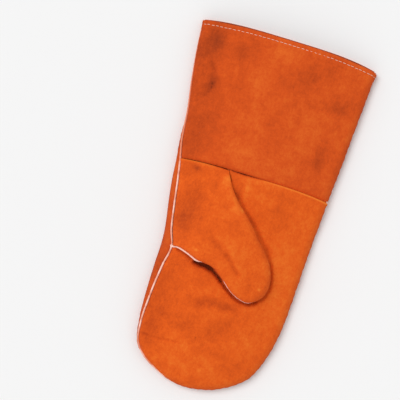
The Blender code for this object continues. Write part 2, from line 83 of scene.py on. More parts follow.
# The hidden edge of the thumb's inner face, and the thumb's lower edge near the crotch
INNER_EDGE = [(-53.5, -53.5), (-50.0, -50.0), (-40.0, -43.0), (-30.5, -32.0), (-13.5, 21.5)]
LOWER_EDGE = [
    (-54.4, -50.2), (-50.0, -49.0), (-45.7, -49.5), (-41.2, -50.7), (-36.8, -52.1), (-32.1, -54.0),
    (-28.6, -55.6),
]
CROTCH_RISE = 9.0  # over this the thumb's lower edge lifts off the palm
THUMB_EDGE_LIFT = 6.4  # its height there
LOWEST_EDGE_LIFT = 2.6  # least that the inner face counts with
LEFT_TRIM_SHARE = 0.4  # of the front's trim that is left at the cuff's left corner
RIGHT_TRIM_SHARE = 0.55
WHOLE_TRIM_FROM = 0.35  # share of the way to the spine

# Rows along the mitt and columns across half of it
ROW_STEP = 1.35
SEAM_ROW_STEP = 0.45
BESIDE_SEAM = 5.0  # mm beside the cross seam with these closer rows
HEM_ROW_STEP = 1.2
HEM_TURN_ROWS = 11  # round the turn at the cuff's mouth
HEM_SLACK = 0.06  # half the space between the two layers of the hem
HEM_END_ROWS_TO = 12.0  # mm from the mouth
HEM_END_ROW_STEP = 0.8
TOP_COLUMNS = 74
WRAP_COLUMNS = 26
FLOOR_COLUMNS = 34
THUMB_ROW_STEP = 1.6
THUMB_COLUMNS = 36
INNER_COLUMNS = 56
INNER_SAMPLES = 160  # across the inner face, to find where its hidden edge is
CLOSER_AT_EDGE = 1.5  # power that draws columns towards the panel's edge
SPINE_COLUMNS = 3  # on either side of the spine, where the last rows crowd together
SPINE_ROWS = 60
CROWDED = 0.3  # mm, between points that are joined there
MEETING = 0.02  # mm, between points of the two halves of the last row
TUCK = 2.2  # mm of palm under the top of the thumb's fold
TUCK_DEPTH = 2.1
TUCK_FROM = 4.0  # mm before the top of the palm's slanting edge
TUCK_OVER = 6.0
TRIM_SPREAD = 70.0  # mm, over which the rows make up for a trimmed hem

# Beside seams and hems, in mm
Ridge = namedtuple("Ridge", "height middle spread")  # it falls to nothing on either side
CALM_AT_SEAM = 9.0  # over this from a side seam the folds fade in
CALM_AT_CROSS_SEAM = 6.0
CALM_ON_THUMB = 7.0
CALM_ON_BACK = 12.0
SEAM_ROLL = 0.75  # how far a panel's edge turns down
THUMB_SEAM_ROLL = 0.7
SEAM_ROLL_RADIUS = 1.4
PUCKER = Ridge(0.32, 3.4, 2.2)  # the leather stands up beside a seam
GATHER = 0.16  # change of its height from stitch to stitch
GATHER_LENGTH = 7.3
GATHER_CHANGE = 0.1
GATHER_CHANGE_LENGTH = 2.9
HEM_PINCH = 0.5  # depth of the groove that the hem's stitches pull
HEM_PINCH_CHANGE = 0.12  # from stitch to gap
HEM_PINCH_SPREAD = 0.9
HEM_PUFF = 0.35  # between the stitches and the mouth
HEM_PUFF_SPREAD = 2.2
HEM_STEP = 0.55  # down from the turned leather to the single layer
HEM_STEP_OVER = 2.0
HEM_STEP_FADE = 26.0

# The cross seam, by the distance below it
LIP = Ridge(1.2, 1.8, 1.4)  # the palm's edge stands up
LIP_ROOT = 0.5  # how far the same edge goes down at the seam itself
LIP_ROOT_OVER = 0.8
DRAWN_IN = Ridge(0.9, 1.5, 2.4)  # the palm's edge where there is no lip
CUFF_DIVE = 0.45  # how far the cuff's edge goes down
CUFF_DIVE_OVER = 1.6
LIP_RUBBED_AND_HIGHLIT = Ridge(0.6, 1.1, 0.9)  # painted highlight on the palm's lip, with some rubbed wear: lighter tone
GROOVE_PAINTED_SHADE = Ridge(0.8, 0.3, 1.3)  # painted shade: darker tone in the groove where there is no lip
# painted shade on the cuff's side of that groove
GROOVE_PAINTED_SHADE_ON_CUFF = 0.3
LIP_LESS = Ridge(0.85, -6, 24)  # by x: hardly any lip beside the thumb
LIP_MORE = 0.25  # more of it on the right
LIP_MORE_FROM = 30
LIP_MORE_OVER = 40

# Dye, soil and painted shade: a tone of 0 is the main colour, and soil of 1 is all grey brown
CREASE_PAINTED_SHADE = 0.13  # painted shade: darker colour for each mm of a crease's depth, painted highlight where it is negative
CREVICE_PAINTED_SHADE = 0.08  # painted shade: darker colour for each mm of the deep crevice beside the thumb
CREVICE_PAINTED_GREY = 0.03  # painted shade: grey brown for each mm of the crevice
BACK_TONE = -0.05
GREYED_BELOW = -0.18  # a darker place than this turns grey brown as well
GREYED_SHARE = 0.9
# painted shade: grey brown on the rounded edges, where they turn upright
EDGE_PAINTED_SHADE = 0.34
EDGE_PAINTED_SHADE_FROM = 0.62  # upright part of the skin's outward direction, 1 where it lies level
EDGE_PAINTED_SHADE_OVER = 0.5
THUMB_EDGE_PAINTED_SHADE = 0.5  # share of the edges' painted shade that the thumb has
UNDER_THUMB_PAINTED_SHADE = 0.3  # painted shade: grey brown on the inner face under the thumb
WRAP_GREYING = 0.12  # grey brown where the back comes up on the left, beside the thumb
HEM_SOIL_AND_SHADE = 0.75  # grey brown on the hem's inner side: soil from hands, and painted shade in the gap between the hems
HEM_SOIL_AND_SHADE_FROM = 1.6  # mm below the skin
HEM_SOIL_AND_SHADE_OVER = 1.4

Station = namedtuple(
    "Station",
    "left_x left_y right_x right_y spine_x spine_y bow crown left_climb right_climb",
)
# bow: how square the row's ends are; crown: height of the skin over the spine; climb: how far the
# side seam lies above the widest line (below it where negative), measured along the skin
BODY = [
    Station(-90.4, 174.9, 90.4, 174.2, 0.0, 180.8, 3.5, 25.0, -2.5, -4.0),
    Station(-87.8, 144.0, 88.2, 144.0, 0.0, 149.5, 3.5, 25.0, -2.0, -4.0),
    Station(-83.8, 114.0, 86.0, 114.0, 0.0, 118.9, 3.5, 25.0, -0.5, -4.0),
    Station(-79.3, 84.0, 84.4, 84.0, 0.5, 88.2, 3.5, 25.5, 2.0, -4.0),
    Station(-77.6, 53.0, 82.3, 53.0, 1.0, 56.7, 3.5, 26.5, 5.0, -4.0),
    Station(-75.7, 35.2, 80.8, 35.2, 1.0, 38.6, 3.5, 27.0, 7.4, -4.0),
    Station(-73.8, 13.0, 79.9, 13.0, 1.0, 14.5, 2.5, 28.0, 9.8, -4.0),
    Station(-71.0, -7.0, 78.8, -7.0, 1.0, -7.0, 1.0, 28.0, 10.2, -4.0),
    Station(-66.6, -34.0, 77.3, -34.0, 1.0, -34.0, 1.0, 28.0, 10.6, -4.0),
    Station(-65.4, -51.0, 76.8, -51.0, 1.0, -51.0, 1.0, 28.0, 14.6, -4.0),
    Station(-65.9, -70.0, 76.2, -69.0, 1.0, -70.0, 1.0, 28.0, 12.0, -4.0),
    Station(-66.0, -92.0, 75.2, -90.0, 0.5, -89.0, 1.0, 28.0, 9.6, -4.0),
    Station(-65.6, -112.0, 72.6, -110.0, -0.5, -103.0, 1.0, 27.5, 7.8, -4.0),
    Station(-64.0, -131.0, 67.8, -131.0, -2.0, -114.0, 1.0, 26.5, 5.2, -4.0),
    Station(-60.0, -151.0, 59.5, -151.0, -3.0, -121.5, 1.0, 26.0, 3.8, -3.6),
    Station(-50.5, -162.5, 49.0, -162.5, -4.0, -125.5, 1.0, 26.0, 2.8, -3.2),
    Station(-33.0, -172.6, 30.0, -174.0, -5.0, -128.5, 1.0, 26.0, 0.8, -2.8),
    Station(-18.0, -178.6, 14.0, -179.0, -5.6, -129.6, 1.0, 26.0, -1.0, -2.4),
    Station(-3.0, -180.9, -3.0, -180.9, -6.0, -130.0, 1.0, 26.0, -2.0, -2.0),
]
CROSS_SEAM_SPINE_Y = 38.6

ThumbStation = namedtuple(
    "ThumbStation",
    "left_x left_y right_x right_y spine_x spine_y"
    " left_lift right_lift left_shoulder right_shoulder crown fold_end",
)
# lift: height of the widest line above the palm; shoulder: how far the rounded edge rises above
# that line; crown: height of the skin over the palm at the spine; fold_end: where the outer face
# ends at the fold on the right, above the widest line or, where negative, turned under it
THUMB = [
    ThumbStation(-69.3, 35.4, -22.6, 38.2, -46.0, 37.4, 0.0, 0.0, 0.0, 0.0, 0.0, 0.0),
    ThumbStation(-69.2, 25.0, -18.2, 29.2, -43.5, 27.5, 0.0, 3.2, 0.2, 1.6, 3.4, -2.5),
    ThumbStation(-68.0, 14.0, -13.5, 21.5, -40.0, 16.0, 0.0, 5.0, 0.5, 3.6, 7.4, -3.5),
    ThumbStation(-65.0, -6.0, -4.0, 10.6, -34.0, 0.0, 0.0, 6.5, 0.8, 5.2, 11.6, -4.0),
    ThumbStation(-61.0, -31.0, 7.4, 0.1, -26.0, -17.0, 0.0, 7.0, 1.4, 6.0, 14.4, -5.0),
    ThumbStation(-54.6, -50.6, 18.2, -11.5, -17.0, -31.0, 2.0, 7.0, 3.6, 6.0, 15.6, -5.0),
    ThumbStation(-43.0, -51.4, 26.0, -19.7, -7.0, -37.5, 4.4, 7.0, 5.2, 6.0, 16.0, -5.0),
    ThumbStation(-28.6, -55.6, 34.6, -28.0, 5.0, -43.5, 6.4, 7.0, 5.6, 6.0, 16.0, -5.0),
    ThumbStation(-11.0, -58.2, 42.9, -39.9, 16.0, -50.0, 6.8, 7.0, 5.6, 5.8, 15.6, -5.0),
    ThumbStation(2.4, -67.0, 47.8, -53.4, 24.5, -57.0, 6.8, 7.0, 5.4, 5.4, 14.8, -5.0),
    ThumbStation(13.4, -76.0, 48.5, -64.6, 29.5, -62.0, 6.8, 6.8, 5.2, 5.2, 14.0, -4.0),
    ThumbStation(23.4, -80.8, 45.2, -73.4, 31.6, -64.6, 6.6, 6.6, 5.0, 5.0, 13.2, -1.5),
    ThumbStation(34.2, -81.8, 34.2, -81.8, 32.2, -66.4, 6.6, 6.6, 5.0, 5.0, 12.8, THUMB_SEAM_HALF),
]
CROTCH_STATION = 5
INNER_FACE_FROM = 3
FOLD_TO_SEAM = 10.0  # mm before the tip, over which the thumb's fold turns into its seam
TIGHT_ALONG = 16.0  # mm of the fold's top that are too tight for a whole wall
TIGHT_ACROSS = 8.0
TIGHTEST = 0.98  # share of the wall that is left out there

WELT_STEP = 1.1
WELT_SIDES = 12
WELT_PINCH = 0.06  # share of its radius, where a stitch passes behind it
WELT_STITCH = 4.5
WELT_UNEVEN = 0.03
WELT_SHOWS = 26.0  # mm of the thumb's seam, from the crotch, where its welt is plain to see
WELT_SLIPS_OVER = 8.0
WELT_SLIPS_BY = 1.7  # mm behind the leather
WELT_PROUD = 0.4  # mm above the side welt's place before it slips
WELT_THICKER = 0.25  # share by which it is thicker there
WELT_HIDDEN = 26.0  # mm of it that hardly show
WELT_RETURNS_OVER = 10.0
WELT_RETURNS_BY = 0.55
WELT_LEAD = 1.6  # mm that the thumb's welt runs beside the side welt before it turns off
WELT_TAIL = 6.0  # mm that it goes on round the tip
WELT_TAIL_STEP = 0.8
WELT_TAIL_END = 0.4  # share of its radius there
STAINED = 0.5  # dye in the welt near the cuff's mouth, 1 where all is stained
STAINED_FROM = 12.0  # mm of y
STAINED_OVER = 50.0
THUMB_WELT_PALER = 0.12

STITCH_POINTS = 9
THREAD_SIDES = 8
HEM_LINE_FROM = 2.6  # mm of travel from the side seam
HEM_LINE_SAMPLES = 400
STITCH_SUNK = 0.62  # mm below the skin at its ends
STITCH_ARCH = 0.3  # mm that it rises from there, besides half the thread
STITCH_FLAT = 4  # the higher, the flatter it lies between its ends
THREAD_BLUNT = 6  # the higher, the blunter the thread's ends
THREAD_END = 0.05  # least of the thread's cross-section, as a share
# Changes from stitch to stitch: waves of so many mm, and so many radians for each stitch
STITCH_ALONG = [(0.18, 2.4), (0.1, 5.1)]
STITCH_ASIDE = [(0.12, 3.7)]
STITCH_RISE = [(0.12, 1.9)]
KNOT_TURNS = 3
KNOT_AT = 2.2  # mm of travel up from the widest line, on the right
KNOT_STEP = 0.8
KNOT_LENGTH = 2.6
KNOT_SHIFT = 0.4  # share of its length on the palm's side of the cross seam
KNOT_LEAN = (0.6, -0.3)  # steps aside that the first turn leans, and that each next one adds
KNOT_RISE = 1.1  # times the thread
KNOT_SUNK = 0.3
KNOT_THREAD = 1.3  # times the thread, since the turns lie close

FLOOR_HALF = 2500.0
FLOOR_BELOW = 0.02  # mm, so that floor and leather don't share a plane
KEY_SPREAD = 34.0  # degrees across the softbox, as seen from the mitt
KEY_FROM = (-0.4, 0.33)  # right and up in the picture, for each unit of height
MITT_TURN = 17.0  # degrees, from the mitt's axes to the picture's
VIEW_CENTRE = (-41.1, 1.3)  # mm, the middle of the picture

# Patterns of the materials, in mm
Noise = namedtuple("Noise", "size detail roughness distortion weight")  # weight: share in the tone
SUEDE_NOISE = {
    "patches": Noise(34.0, 2.0, 0.5, 0.6, 0.34),  # where the dye took differently
    "mottle": Noise(8.0, 3.0, 0.6, 0.0, 0.36),  # cloudy mottling of the nap
    "specks": Noise(2.6, 3.0, 0.65, 0.0, 0.34),  # nap brushed either way
    "fibres": Noise(6.0, 4.0, 0.6, 0.0, 0.2),  # faint streaks along the hide
    "nap": Noise(1.1, 4.0, 0.7, 0.0, 0.3),  # real nap is finer, and this is the finest that shows
}
FIBRE_TURN = (0.0, 0.0, 0.5)  # radians
FIBRE_SQUEEZE = (4.0, 1.0, 4.0)  # so that they are four times as long as wide
DEEP_AT, MAIN_AT, BRIGHT_AT = 0.08, 0.5, 0.92  # places of the dyes on their ramp
SHADOWED = 0.42  # share of the darkest dye's light that comes out of a deep crevice
SPECK_RELIEF = 0.8  # how high the specks stand, for each unit of the nap's height
SUEDE_RELIEF = 0.45
RAW_FIBRE = 1.5  # loose fibres of the inner side
RAW_RELIEF = 0.4
WELT_GRAIN = 1.4
WELT_RELIEF = 0.2
WELT_STAIN = 9.0  # where dye has run in
WELT_STAINED_AT, WELT_CLEAN_AT = 0.34, 0.6
TWIST = 18.0  # for ten radians of the thread's twist; the real one is too fine to show
TWIST_RELIEF = 0.1

Crease = namedtuple("Crease", "points depth width")
Dent = namedtuple("Dent", "x y half_x half_y angle depth")
Tone = namedtuple("Tone", "x y half_x half_y angle amount")
Swell = namedtuple("Swell", "size height seed")
Marks = namedtuple("Marks", "creases dents tones swells phase")

# Creases and dents that the leather keeps from being folded and worn
CUFF_CREASES = [
    Crease([(-76, 143), (-71, 137), (-65, 129)], 0.7, 2.2),
    Crease([(-67, 128), (-63, 114), (-66, 104)], 0.9, 3.6),
    Crease([(37, 121), (54, 122), (70, 126)], 0.6, 3.4),
    Crease([(-4, 99), (6, 112), (12, 128)], -0.35, 4.0),
    Crease([(57, 86), (60, 66)], 0.6, 4.0),
]
CUFF_DENTS = [
    Dent(-68, 157, 9, 11, 0, 0.9),
    Dent(28, 150, 22, 12, 0, 0.8),
    Dent(-44, 152, 13, 10, 0, 0.6),
    Dent(-57, 74, 11, 20, 0, 0.8),
]
PALM_CREASES = [
    Crease([(-57.5, -141.2), (-50, -142), (-38, -141.4), (-23, -139.6)], 0.8, 1.3),
    Crease([(1.6, -138.3), (6, -133), (11.3, -129.1)], 0.5, 2.2),
    Crease([(-16, -96), (2, -92), (24, -93)], 0.9, 5.0),
    Crease([(-4, -128), (12, -118), (26, -104)], 0.7, 6.0),
    Crease([(-2, 35), (-1, 18)], -0.35, 3.0),
]
# Where the palm is pressed down beside the thumb, deepest under its lower edge
THUMB_CREVICES = [
    Crease([(-48, -51.4), (-41, -52.7), (-33, -56.4)], 2.2, 1.3),
    Crease([(-28, -58.0), (-22, -59.2), (-17, -59.2), (-10.5, -61.0)], 8.0, 2.3),
    Crease([(-10.5, -61.0), (-2, -66.0), (2.6, -69.8)], 7.0, 1.6),
    Crease([(2.6, -69.8), (9.4, -75.2), (17.4, -80.0)], 5.5, 1.3),
    Crease([(17.4, -80.2), (26, -83.0), (35, -83.0), (41.6, -79.4)], 4.4, 1.8),
    Crease([(41.6, -79.4), (47.4, -72.6), (50.1, -63.6), (49.3, -53.4), (44.6, -40.2)], 2.2, 1.9),
    Crease([(44.6, -40.2), (36.6, -27.5), (18.6, -8.4), (4.6, 4.4), (-6, 15.2)], 1.5, 2.0),
]
PALM_DENTS = [
    Dent(10, -121, 13, 9, 0, 0.8),
    Dent(-15, -118, 10, 9, 0, 0.5),
    Dent(47, 6, 14, 13, 0, 0.6),
]
THUMB_CREASES = [
    Crease([(-18.2, -32.5), (-9, -37.5), (-1.5, -42.7)], 0.9, 2.6),
    Crease([(0, -43.2), (8, -50.5), (15.9, -58.7)], 1.2, 2.0),
    Crease([(-15, -27), (-5, -33), (4, -38)], -0.5, 3.2),
    Crease([(5, -42), (12, -48), (19, -55)], -0.35, 2.6),
    Crease([(-22, -24), (-14, -33)], 0.5, 1.4),
    Crease([(-4, -34), (0, -42)], 0.35, 1.8),
    Crease([(20, -68), (30, -73)], 0.3, 2.2),
    Crease([(-20, 30), (-14, 18), (-4, 5)], -0.6, 4.0),
]
THUMB_DENTS = [
    Dent(-53.3, 31, 4.5, 3.5, 0, 0.9),
    Dent(-44, -2, 12, 20, 0, 0.8),
    Dent(12, -40, 8, 12, 40, 0.4),
]

# Lighter and darker places of the hide: where it took the dye unevenly or was rubbed, and painted
# shade over dents and creases and painted highlight on raised folds
CUFF_TONES = [
    Tone(-92, 110, 34, 90, 5, -0.16),
    Tone(-69, 158, 9, 13, 0, -0.2),
    Tone(-80, 150, 14, 26, 0, -0.12),
    Tone(-63, 116, 6, 8, 0, -0.2),
    Tone(-59, 72, 22, 34, 0, -0.08),
    Tone(28, 150, 24, 16, 15, -0.12),
    Tone(64, 128, 16, 9, 0, -0.14),
    Tone(60, 76, 5, 13, 0, -0.15),
    Tone(-44, 153, 14, 8, 20, -0.12),
    Tone(-5, 163, 16, 8, 0, 0.12),
    Tone(-19, 128, 8, 18, 10, 0.1),
    Tone(-12, 97, 6, 16, 25, 0.12),
    Tone(36, 90, 14, 20, 0, 0.07),
    Tone(-22, 60, 16, 10, 0, 0.08),
    Tone(37, 54, 5, 5, 0, 0.16),
]
PALM_TONES = [
    Tone(8, -92, 22, 6, 8, -0.2),
    Tone(13, -120, 14, 14, 30, -0.15),
    Tone(-15, -120, 12, 10, 0, -0.1),
    Tone(47, 6, 18, 16, 0, -0.1),
    Tone(0, 25, 3, 11, 0, 0.16),
    Tone(-8, 20, 5, 14, -25, -0.16),
    Tone(7, -160, 2, 2, 0, 0.22),
    Tone(58, -60, 14, 50, 0, 0.08),
    Tone(-20, -160, 30, 8, 0, 0.06),
    Tone(-56, -100, 20, 62, 0, -0.17),
    Tone(-56, -140, 12, 14, 0, -0.08),
]
THUMB_TONES = [
    Tone(-44, -6, 16, 26, 0, -0.13),
    Tone(-53, 31, 4, 3, 0, -0.25),
    Tone(-21, 26, 4, 16, -25, 0.18),
    Tone(-6, 0, 5, 16, -40, 0.12),
    Tone(2, 4, 2, 2, 0, 0.3),
    Tone(-30, -46.5, 1.5, 1.2, 0, 0.32),
    Tone(40, -66, 1.5, 1.5, 0, 0.35),
    Tone(4, -30, 14, 10, 0, 0.06),
    Tone(-54, -24, 13, 30, 0, -0.17),
    Tone(-62, 27, 14, 10, 0, -0.14),
]

# What makes each panel uneven; phase is where the gathers at its seams begin
CUFF_MARKS = Marks(
    CUFF_CREASES, CUFF_DENTS, CUFF_TONES, [Swell(34, 0.42, 3), Swell(13, 0.12, 8)], 3
)
PALM_MARKS = Marks(
    PALM_CREASES, PALM_DENTS, PALM_TONES, [Swell(34, 0.42, 11), Swell(13, 0.12, 16)], 11
)
THUMB_MARKS = Marks(
    THUMB_CREASES, THUMB_DENTS, THUMB_TONES, [Swell(26, 0.38, 41), Swell(11, 0.12, 47)], 0.4
)
BACK_MARKS = Marks([], [], [], [Swell(34, 0.3, 21), Swell(13, 0.1, 27)], 1.7)
BACK_DYE = [Swell(40, 0.06, 33)]


def linear(hex_colour):
    """An sRGB hex colour as the linear red, green and blue that Blender works in."""
    channels = [int(hex_colour[at : at + 2], 16) / 255 for at in (1, 3, 5)]
    return tuple(c / 12.92 if c <= 0.04045 else ((c + 0.055) / 1.055) ** 2.4 for c in channels)


def colour_property(name, description, hex_colour):
    return bpy.props.FloatVectorProperty(
        name=name, description=description, default=linear(hex_colour), subtype="COLOR",
        size=3, min=0.0, max=1.0,
    )


def length_property(name, description, millimetres):
    return bpy.props.FloatProperty(
        name=name, description=description, default=millimetres * MM, unit="LENGTH",
    )


class MittSizes(bpy.types.PropertyGroup):
    """Sizes of the leather, its hem, its welts and its thread."""

    wall: length_property("Wall", "Thickness of one layer of split cowhide", 1.6)
    hem_width: length_property("Hem width", "Leather turned in at the cuff mouth", 8.0)
    hem_stitch_line: length_property("Hem stitch line", "Stitches from the hem's edge", 4.3)
    front_trim: length_property("Front trim", "The front's hem ends this short of the back's", 2.8)
    welt_radius: length_property("Welt radius", "Half the width of the strip in a seam", 0.95)
    welt_sink: length_property("Welt sink", "Depth of the welt's middle below the skin", 0.1)
    stitch: length_property("Stitch", "Length of one stitch that shows", 3.5)
    stitch_gap: length_property("Stitch gap", "Leather between two stitches", 0.9)
    thread: length_property("Thread", "Diameter of the sewing thread", 0.5)


class MittColours(bpy.types.PropertyGroup):
    """Colours of the hide, the welt and the thread."""

    cuff_deep: colour_property("Cuff deep", "Darkest dye on the cuff", "#A03A15")
    cuff_body: colour_property("Cuff", "Main colour of the cuff", "#D6531B")
    cuff_bright: colour_property("Cuff bright", "Lightest dye on the cuff", "#EE762B")
    palm_deep: colour_property("Palm deep", "Darkest dye on palm and thumb", "#AE3E13")
    palm_body: colour_property("Palm", "Main colour of palm and thumb", "#E45D1A")
    palm_bright: colour_property("Palm bright", "Lightest dye on palm and thumb", "#F7852F")
    raw_side: colour_property("Raw side", "The hide's inner side and its cut edges", "#C4683A")
    # this grey brown is handling marks and also painted shade on edges, in the crevice and under
    # the thumb
    soil: colour_property("Soil", "Grey brown handling marks", "#7C3E24")
    welt: colour_property("Welt", "Undyed strip in the seams", "#FFCDBB")
    welt_stain: colour_property("Welt stain", "Dye that has run into the strip", "#E98B68")
    thread: colour_property("Thread", "Sewing thread", "#F3CDB6")


class MittStudio(bpy.types.PropertyGroup):
    """Floor, light and camera."""

    floor: colour_property("Floor", "Pale studio floor", "#F4F4F4")
    camera_height: length_property("Camera height", "Above the floor, straight down", 1800.0)
    view_width: length_property("View width", "Width of the floor that the camera takes in", 400.0)
    key_strength: bpy.props.FloatProperty(
        name="Key light", description="Soft light from the upper left, W/m2", default=1.34,
    )
    sky: bpy.props.FloatProperty(
        name="Fill light", description="Even light from all round", default=0.64,
    )


class Loft:
    """Stations read as smooth curves over the distance travelled along them."""

    SAMPLES = 3000

    def __init__(self, stations):
        self.kind = type(stations[0])
        self.values = np.array(stations)
        left = np.hypot(*np.diff(self.values[:, 0:2], axis=0).T)
        right = np.hypot(*np.diff(self.values[:, 2:4], axis=0).T)
        self.at = np.concatenate([[0.0], np.cumsum((left + right) / 2)])
        self.length = self.at[-1]
        before = np.vstack([self.values[:1], self.values[:-1]])
        after = np.vstack([self.values[1:], self.values[-2:-1, self.mirrored()]])
        at_before = np.append(self.at[:1], self.at[:-1])
        at_after = np.append(self.at[1:], 2 * self.at[-1] - self.at[-2])
        self.slopes = (after - before) / (at_after - at_before)[:, None]
        self.sampled_at = np.linspace(0.0, self.length, self.SAMPLES)
        self.sampled = self.row(self.sampled_at)

    def mirrored(self):
        """Columns with left and right changed over: at the tip each side runs into the other."""
        names = self.kind._fields
        swapped = [
            name.replace("left", "right") if "left" in name else name.replace("right", "left")
            for name in names
        ]
        return [names.index(name) for name in swapped]

    def row(self, distance):
        """The stations at distances from the first one, by a cubic through their neighbours."""
        distance = np.clip(distance, 0.0, self.length)
        index = np.clip(np.searchsorted(self.at, distance, side="right") - 1, 0, len(self.at) - 2)
        span = self.at[index + 1] - self.at[index]
        t = (distance - self.at[index]) / span
        start_weight = 2 * t**3 - 3 * t**2 + 1
        start_pull = (t**3 - 2 * t**2 + t) * span
        end_pull = (t**3 - t**2) * span
        return self.kind(*(
            start_weight * value[index] + (1 - start_weight) * value[index + 1]
            + start_pull * slope[index] + end_pull * slope[index + 1]
            for value, slope in zip(self.values.T, self.slopes.T)
        ))

    def distance_where(self, column, y):
        """How far along the loft a y, which falls all the way, has a given value."""
        return np.interp(-np.asarray(y), -getattr(self.sampled, column), self.sampled_at)


body = Loft(BODY)
thumb = Loft(THUMB)
CROSS_SEAM_AT = float(body.distance_where("spine_y", CROSS_SEAM_SPINE_Y))
CROSS_SEAM_ROW = body.row(CROSS_SEAM_AT)


def quarter_length(inward, rise):
    """Length of an elliptical quarter, near enough for the flat ones used here."""
    return math.pi / 2 * math.sqrt((inward**2 + rise**2) / 2)


EDGE_QUARTER = quarter_length(EDGE_IN, EDGE_RISE)
THUMB_QUARTER = quarter_length(THUMB_IN, THUMB_IN)


def smooth_step(value):
    """From 0 to 1 as value does, with no corner at either end."""
    value = np.clip(value, 0.0, 1.0)
    return value * value * (3 - 2 * value)


def hump(value):
    """1 at 0, falling to nothing on either side."""
    return np.exp(-(value**2))


def round_over(travel, quarter, inward, rise):
    """How far in and up a point lies after a travel round the edge and then straight on."""
    angle = math.pi / 2 * np.minimum(travel / quarter, 1.0)
    beyond = np.maximum(travel - quarter, 0.0)
    return inward * (1 - np.cos(angle)) + beyond, rise * np.sin(angle)


def edge_of(row, side):
    if side < 0:
        return row.left_x, row.left_y
    return row.right_x, row.right_y


def climb_of(row, side):
    return row.left_climb if side < 0 else row.right_climb


def run_of(row, side):
    """Length of the row from its edge to the spine."""
    x, y = edge_of(row, side)
    return np.hypot(row.spine_x - x, row.spine_y - y)


def reach_of(row, side, quarter, inward):
    """Travel along the skin from the widest line to the spine."""
    return quarter + run_of(row, side) - inward


def cross_seam_y(x):
    """The cross seam's y, which drops a little towards both edges."""
    row = CROSS_SEAM_ROW
    on_left = x < row.spine_x
    edge_x = np.where(on_left, row.left_x, row.right_x)
    edge_y = np.where(on_left, row.left_y, row.right_y)
    share = np.clip((x - edge_x) / (row.spine_x - edge_x), 0.0, 1.0)
    return edge_y + (row.spine_y - edge_y) * (1 - (1 - share) ** row.bow)


def cross_seam_dip(x, y, inset):
    """How far the cross seam draws the skin down, less so where it meets the side seam."""
    faded = smooth_step(inset / CROSS_SEAM_FADE)
    return CROSS_SEAM_DIP * hump((y - cross_seam_y(x)) / CROSS_SEAM_SPREAD) * faded


def crowned(row, share):
    """Rise of the skin over the rounded edge, at a share of the way to the spine."""
    return (row.crown - EDGE_DROP - EDGE_RISE) * (1 - (1 - share) ** 2)


def body_point(row, side, climb):
    """Points of the mitt's outer skin, climb being the travel above the widest line."""
    edge_x, edge_y = edge_of(row, side)
    inset, rise = round_over(np.abs(climb), EDGE_QUARTER, EDGE_IN, EDGE_RISE)
    share = np.minimum(inset / run_of(row, side), 1.0)
    x = edge_x + (row.spine_x - edge_x) * share
    y = edge_y + (row.spine_y - edge_y) * (1 - (1 - share) ** row.bow)
    below = EDGE_DROP * (1 - rise / EDGE_RISE)
    above = EDGE_DROP + rise + crowned(row, share) - cross_seam_dip(x, y, inset)
    return x, y, np.where(climb < 0, below, above)


def top_height(x, y):
    """Height of the mitt's top skin over points that lie above the fan of rows."""
    row = body.row(body.distance_where("spine_y", y))
    edge_x = np.where(x < row.spine_x, row.left_x, row.right_x)
    inset = np.abs(x - edge_x)
    share = np.minimum(inset / np.abs(row.spine_x - edge_x), 1.0)
    lean = np.minimum(inset / EDGE_IN, 1.0)
    rise = EDGE_RISE * np.sqrt(1 - (1 - lean) ** 2)
    return EDGE_DROP + rise + crowned(row, share) - cross_seam_dip(x, y, inset)


def distance_to_line(x, y, start, end):
    """Distance of points from a straight stretch."""
    along_x, along_y = end[0] - start[0], end[1] - start[1]
    share = ((x - start[0]) * along_x + (y - start[1]) * along_y) / (along_x**2 + along_y**2)
    share = np.clip(share, 0.0, 1.0)
    return np.hypot(x - start[0] - along_x * share, y - start[1] - along_y * share)


def groove_depth(x, y, groove):
    """Depth of one groove at points near its line."""
    stretches = zip(groove.points, groove.points[1:])
    away = np.min([distance_to_line(x, y, *ends) for ends in stretches], axis=0)
    return groove.depth * hump(away / groove.width)


def valley_dip(x, y):
    """How far the palm is pressed down beside the thumb."""
    return np.max([groove_depth(x, y, groove) for groove in THUMB_CREVICES], axis=0)


def line_x(line, y):
    """The x at which a slanting line passes a given y."""
    (start_x, start_y), (end_x, end_y) = line
    return start_x + (end_x - start_x) * (y - start_y) / (end_y - start_y)


def fold_top_x(y):
    """The edge of the thumb's fold above the palm's hidden edge."""
    return line_x((PALM_EDGE[1], (THUMB[0].right_x, THUMB[0].right_y)), y)


def palm_edge_x(y):
    """Left edge of the palm above the crotch, under the thumb all the way."""
    return np.where(y <= PALM_EDGE[1][1], line_x(PALM_EDGE, y), fold_top_x(y) - TUCK)


def tucked(x, y):
    """How far the palm's edge goes down to pass under the top of the thumb's fold."""
    beyond = smooth_step((fold_top_x(y) + TUCK - x) / (2 * TUCK))
    up_there = smooth_step((y - PALM_EDGE[1][1] + TUCK_FROM) / TUCK_OVER)
    return TUCK_DEPTH * beyond * up_there


def top_start(row, side):
    """Travel at which the leather of the mitt's top begins, beside the welt."""
    return climb_of(row, side) + SEAM_HALF


def palm_start(row, side):
    """The same for the palm, whose left edge above the crotch is hidden under the thumb."""
    seam = top_start(row, side)
    if side > 0:
        return seam
    inset = palm_edge_x(row.spine_y) - row.left_x
    hidden = np.maximum(seam, EDGE_QUARTER + inset - EDGE_IN)
    return np.where(row.left_y < CROTCH[1], seam, hidden)


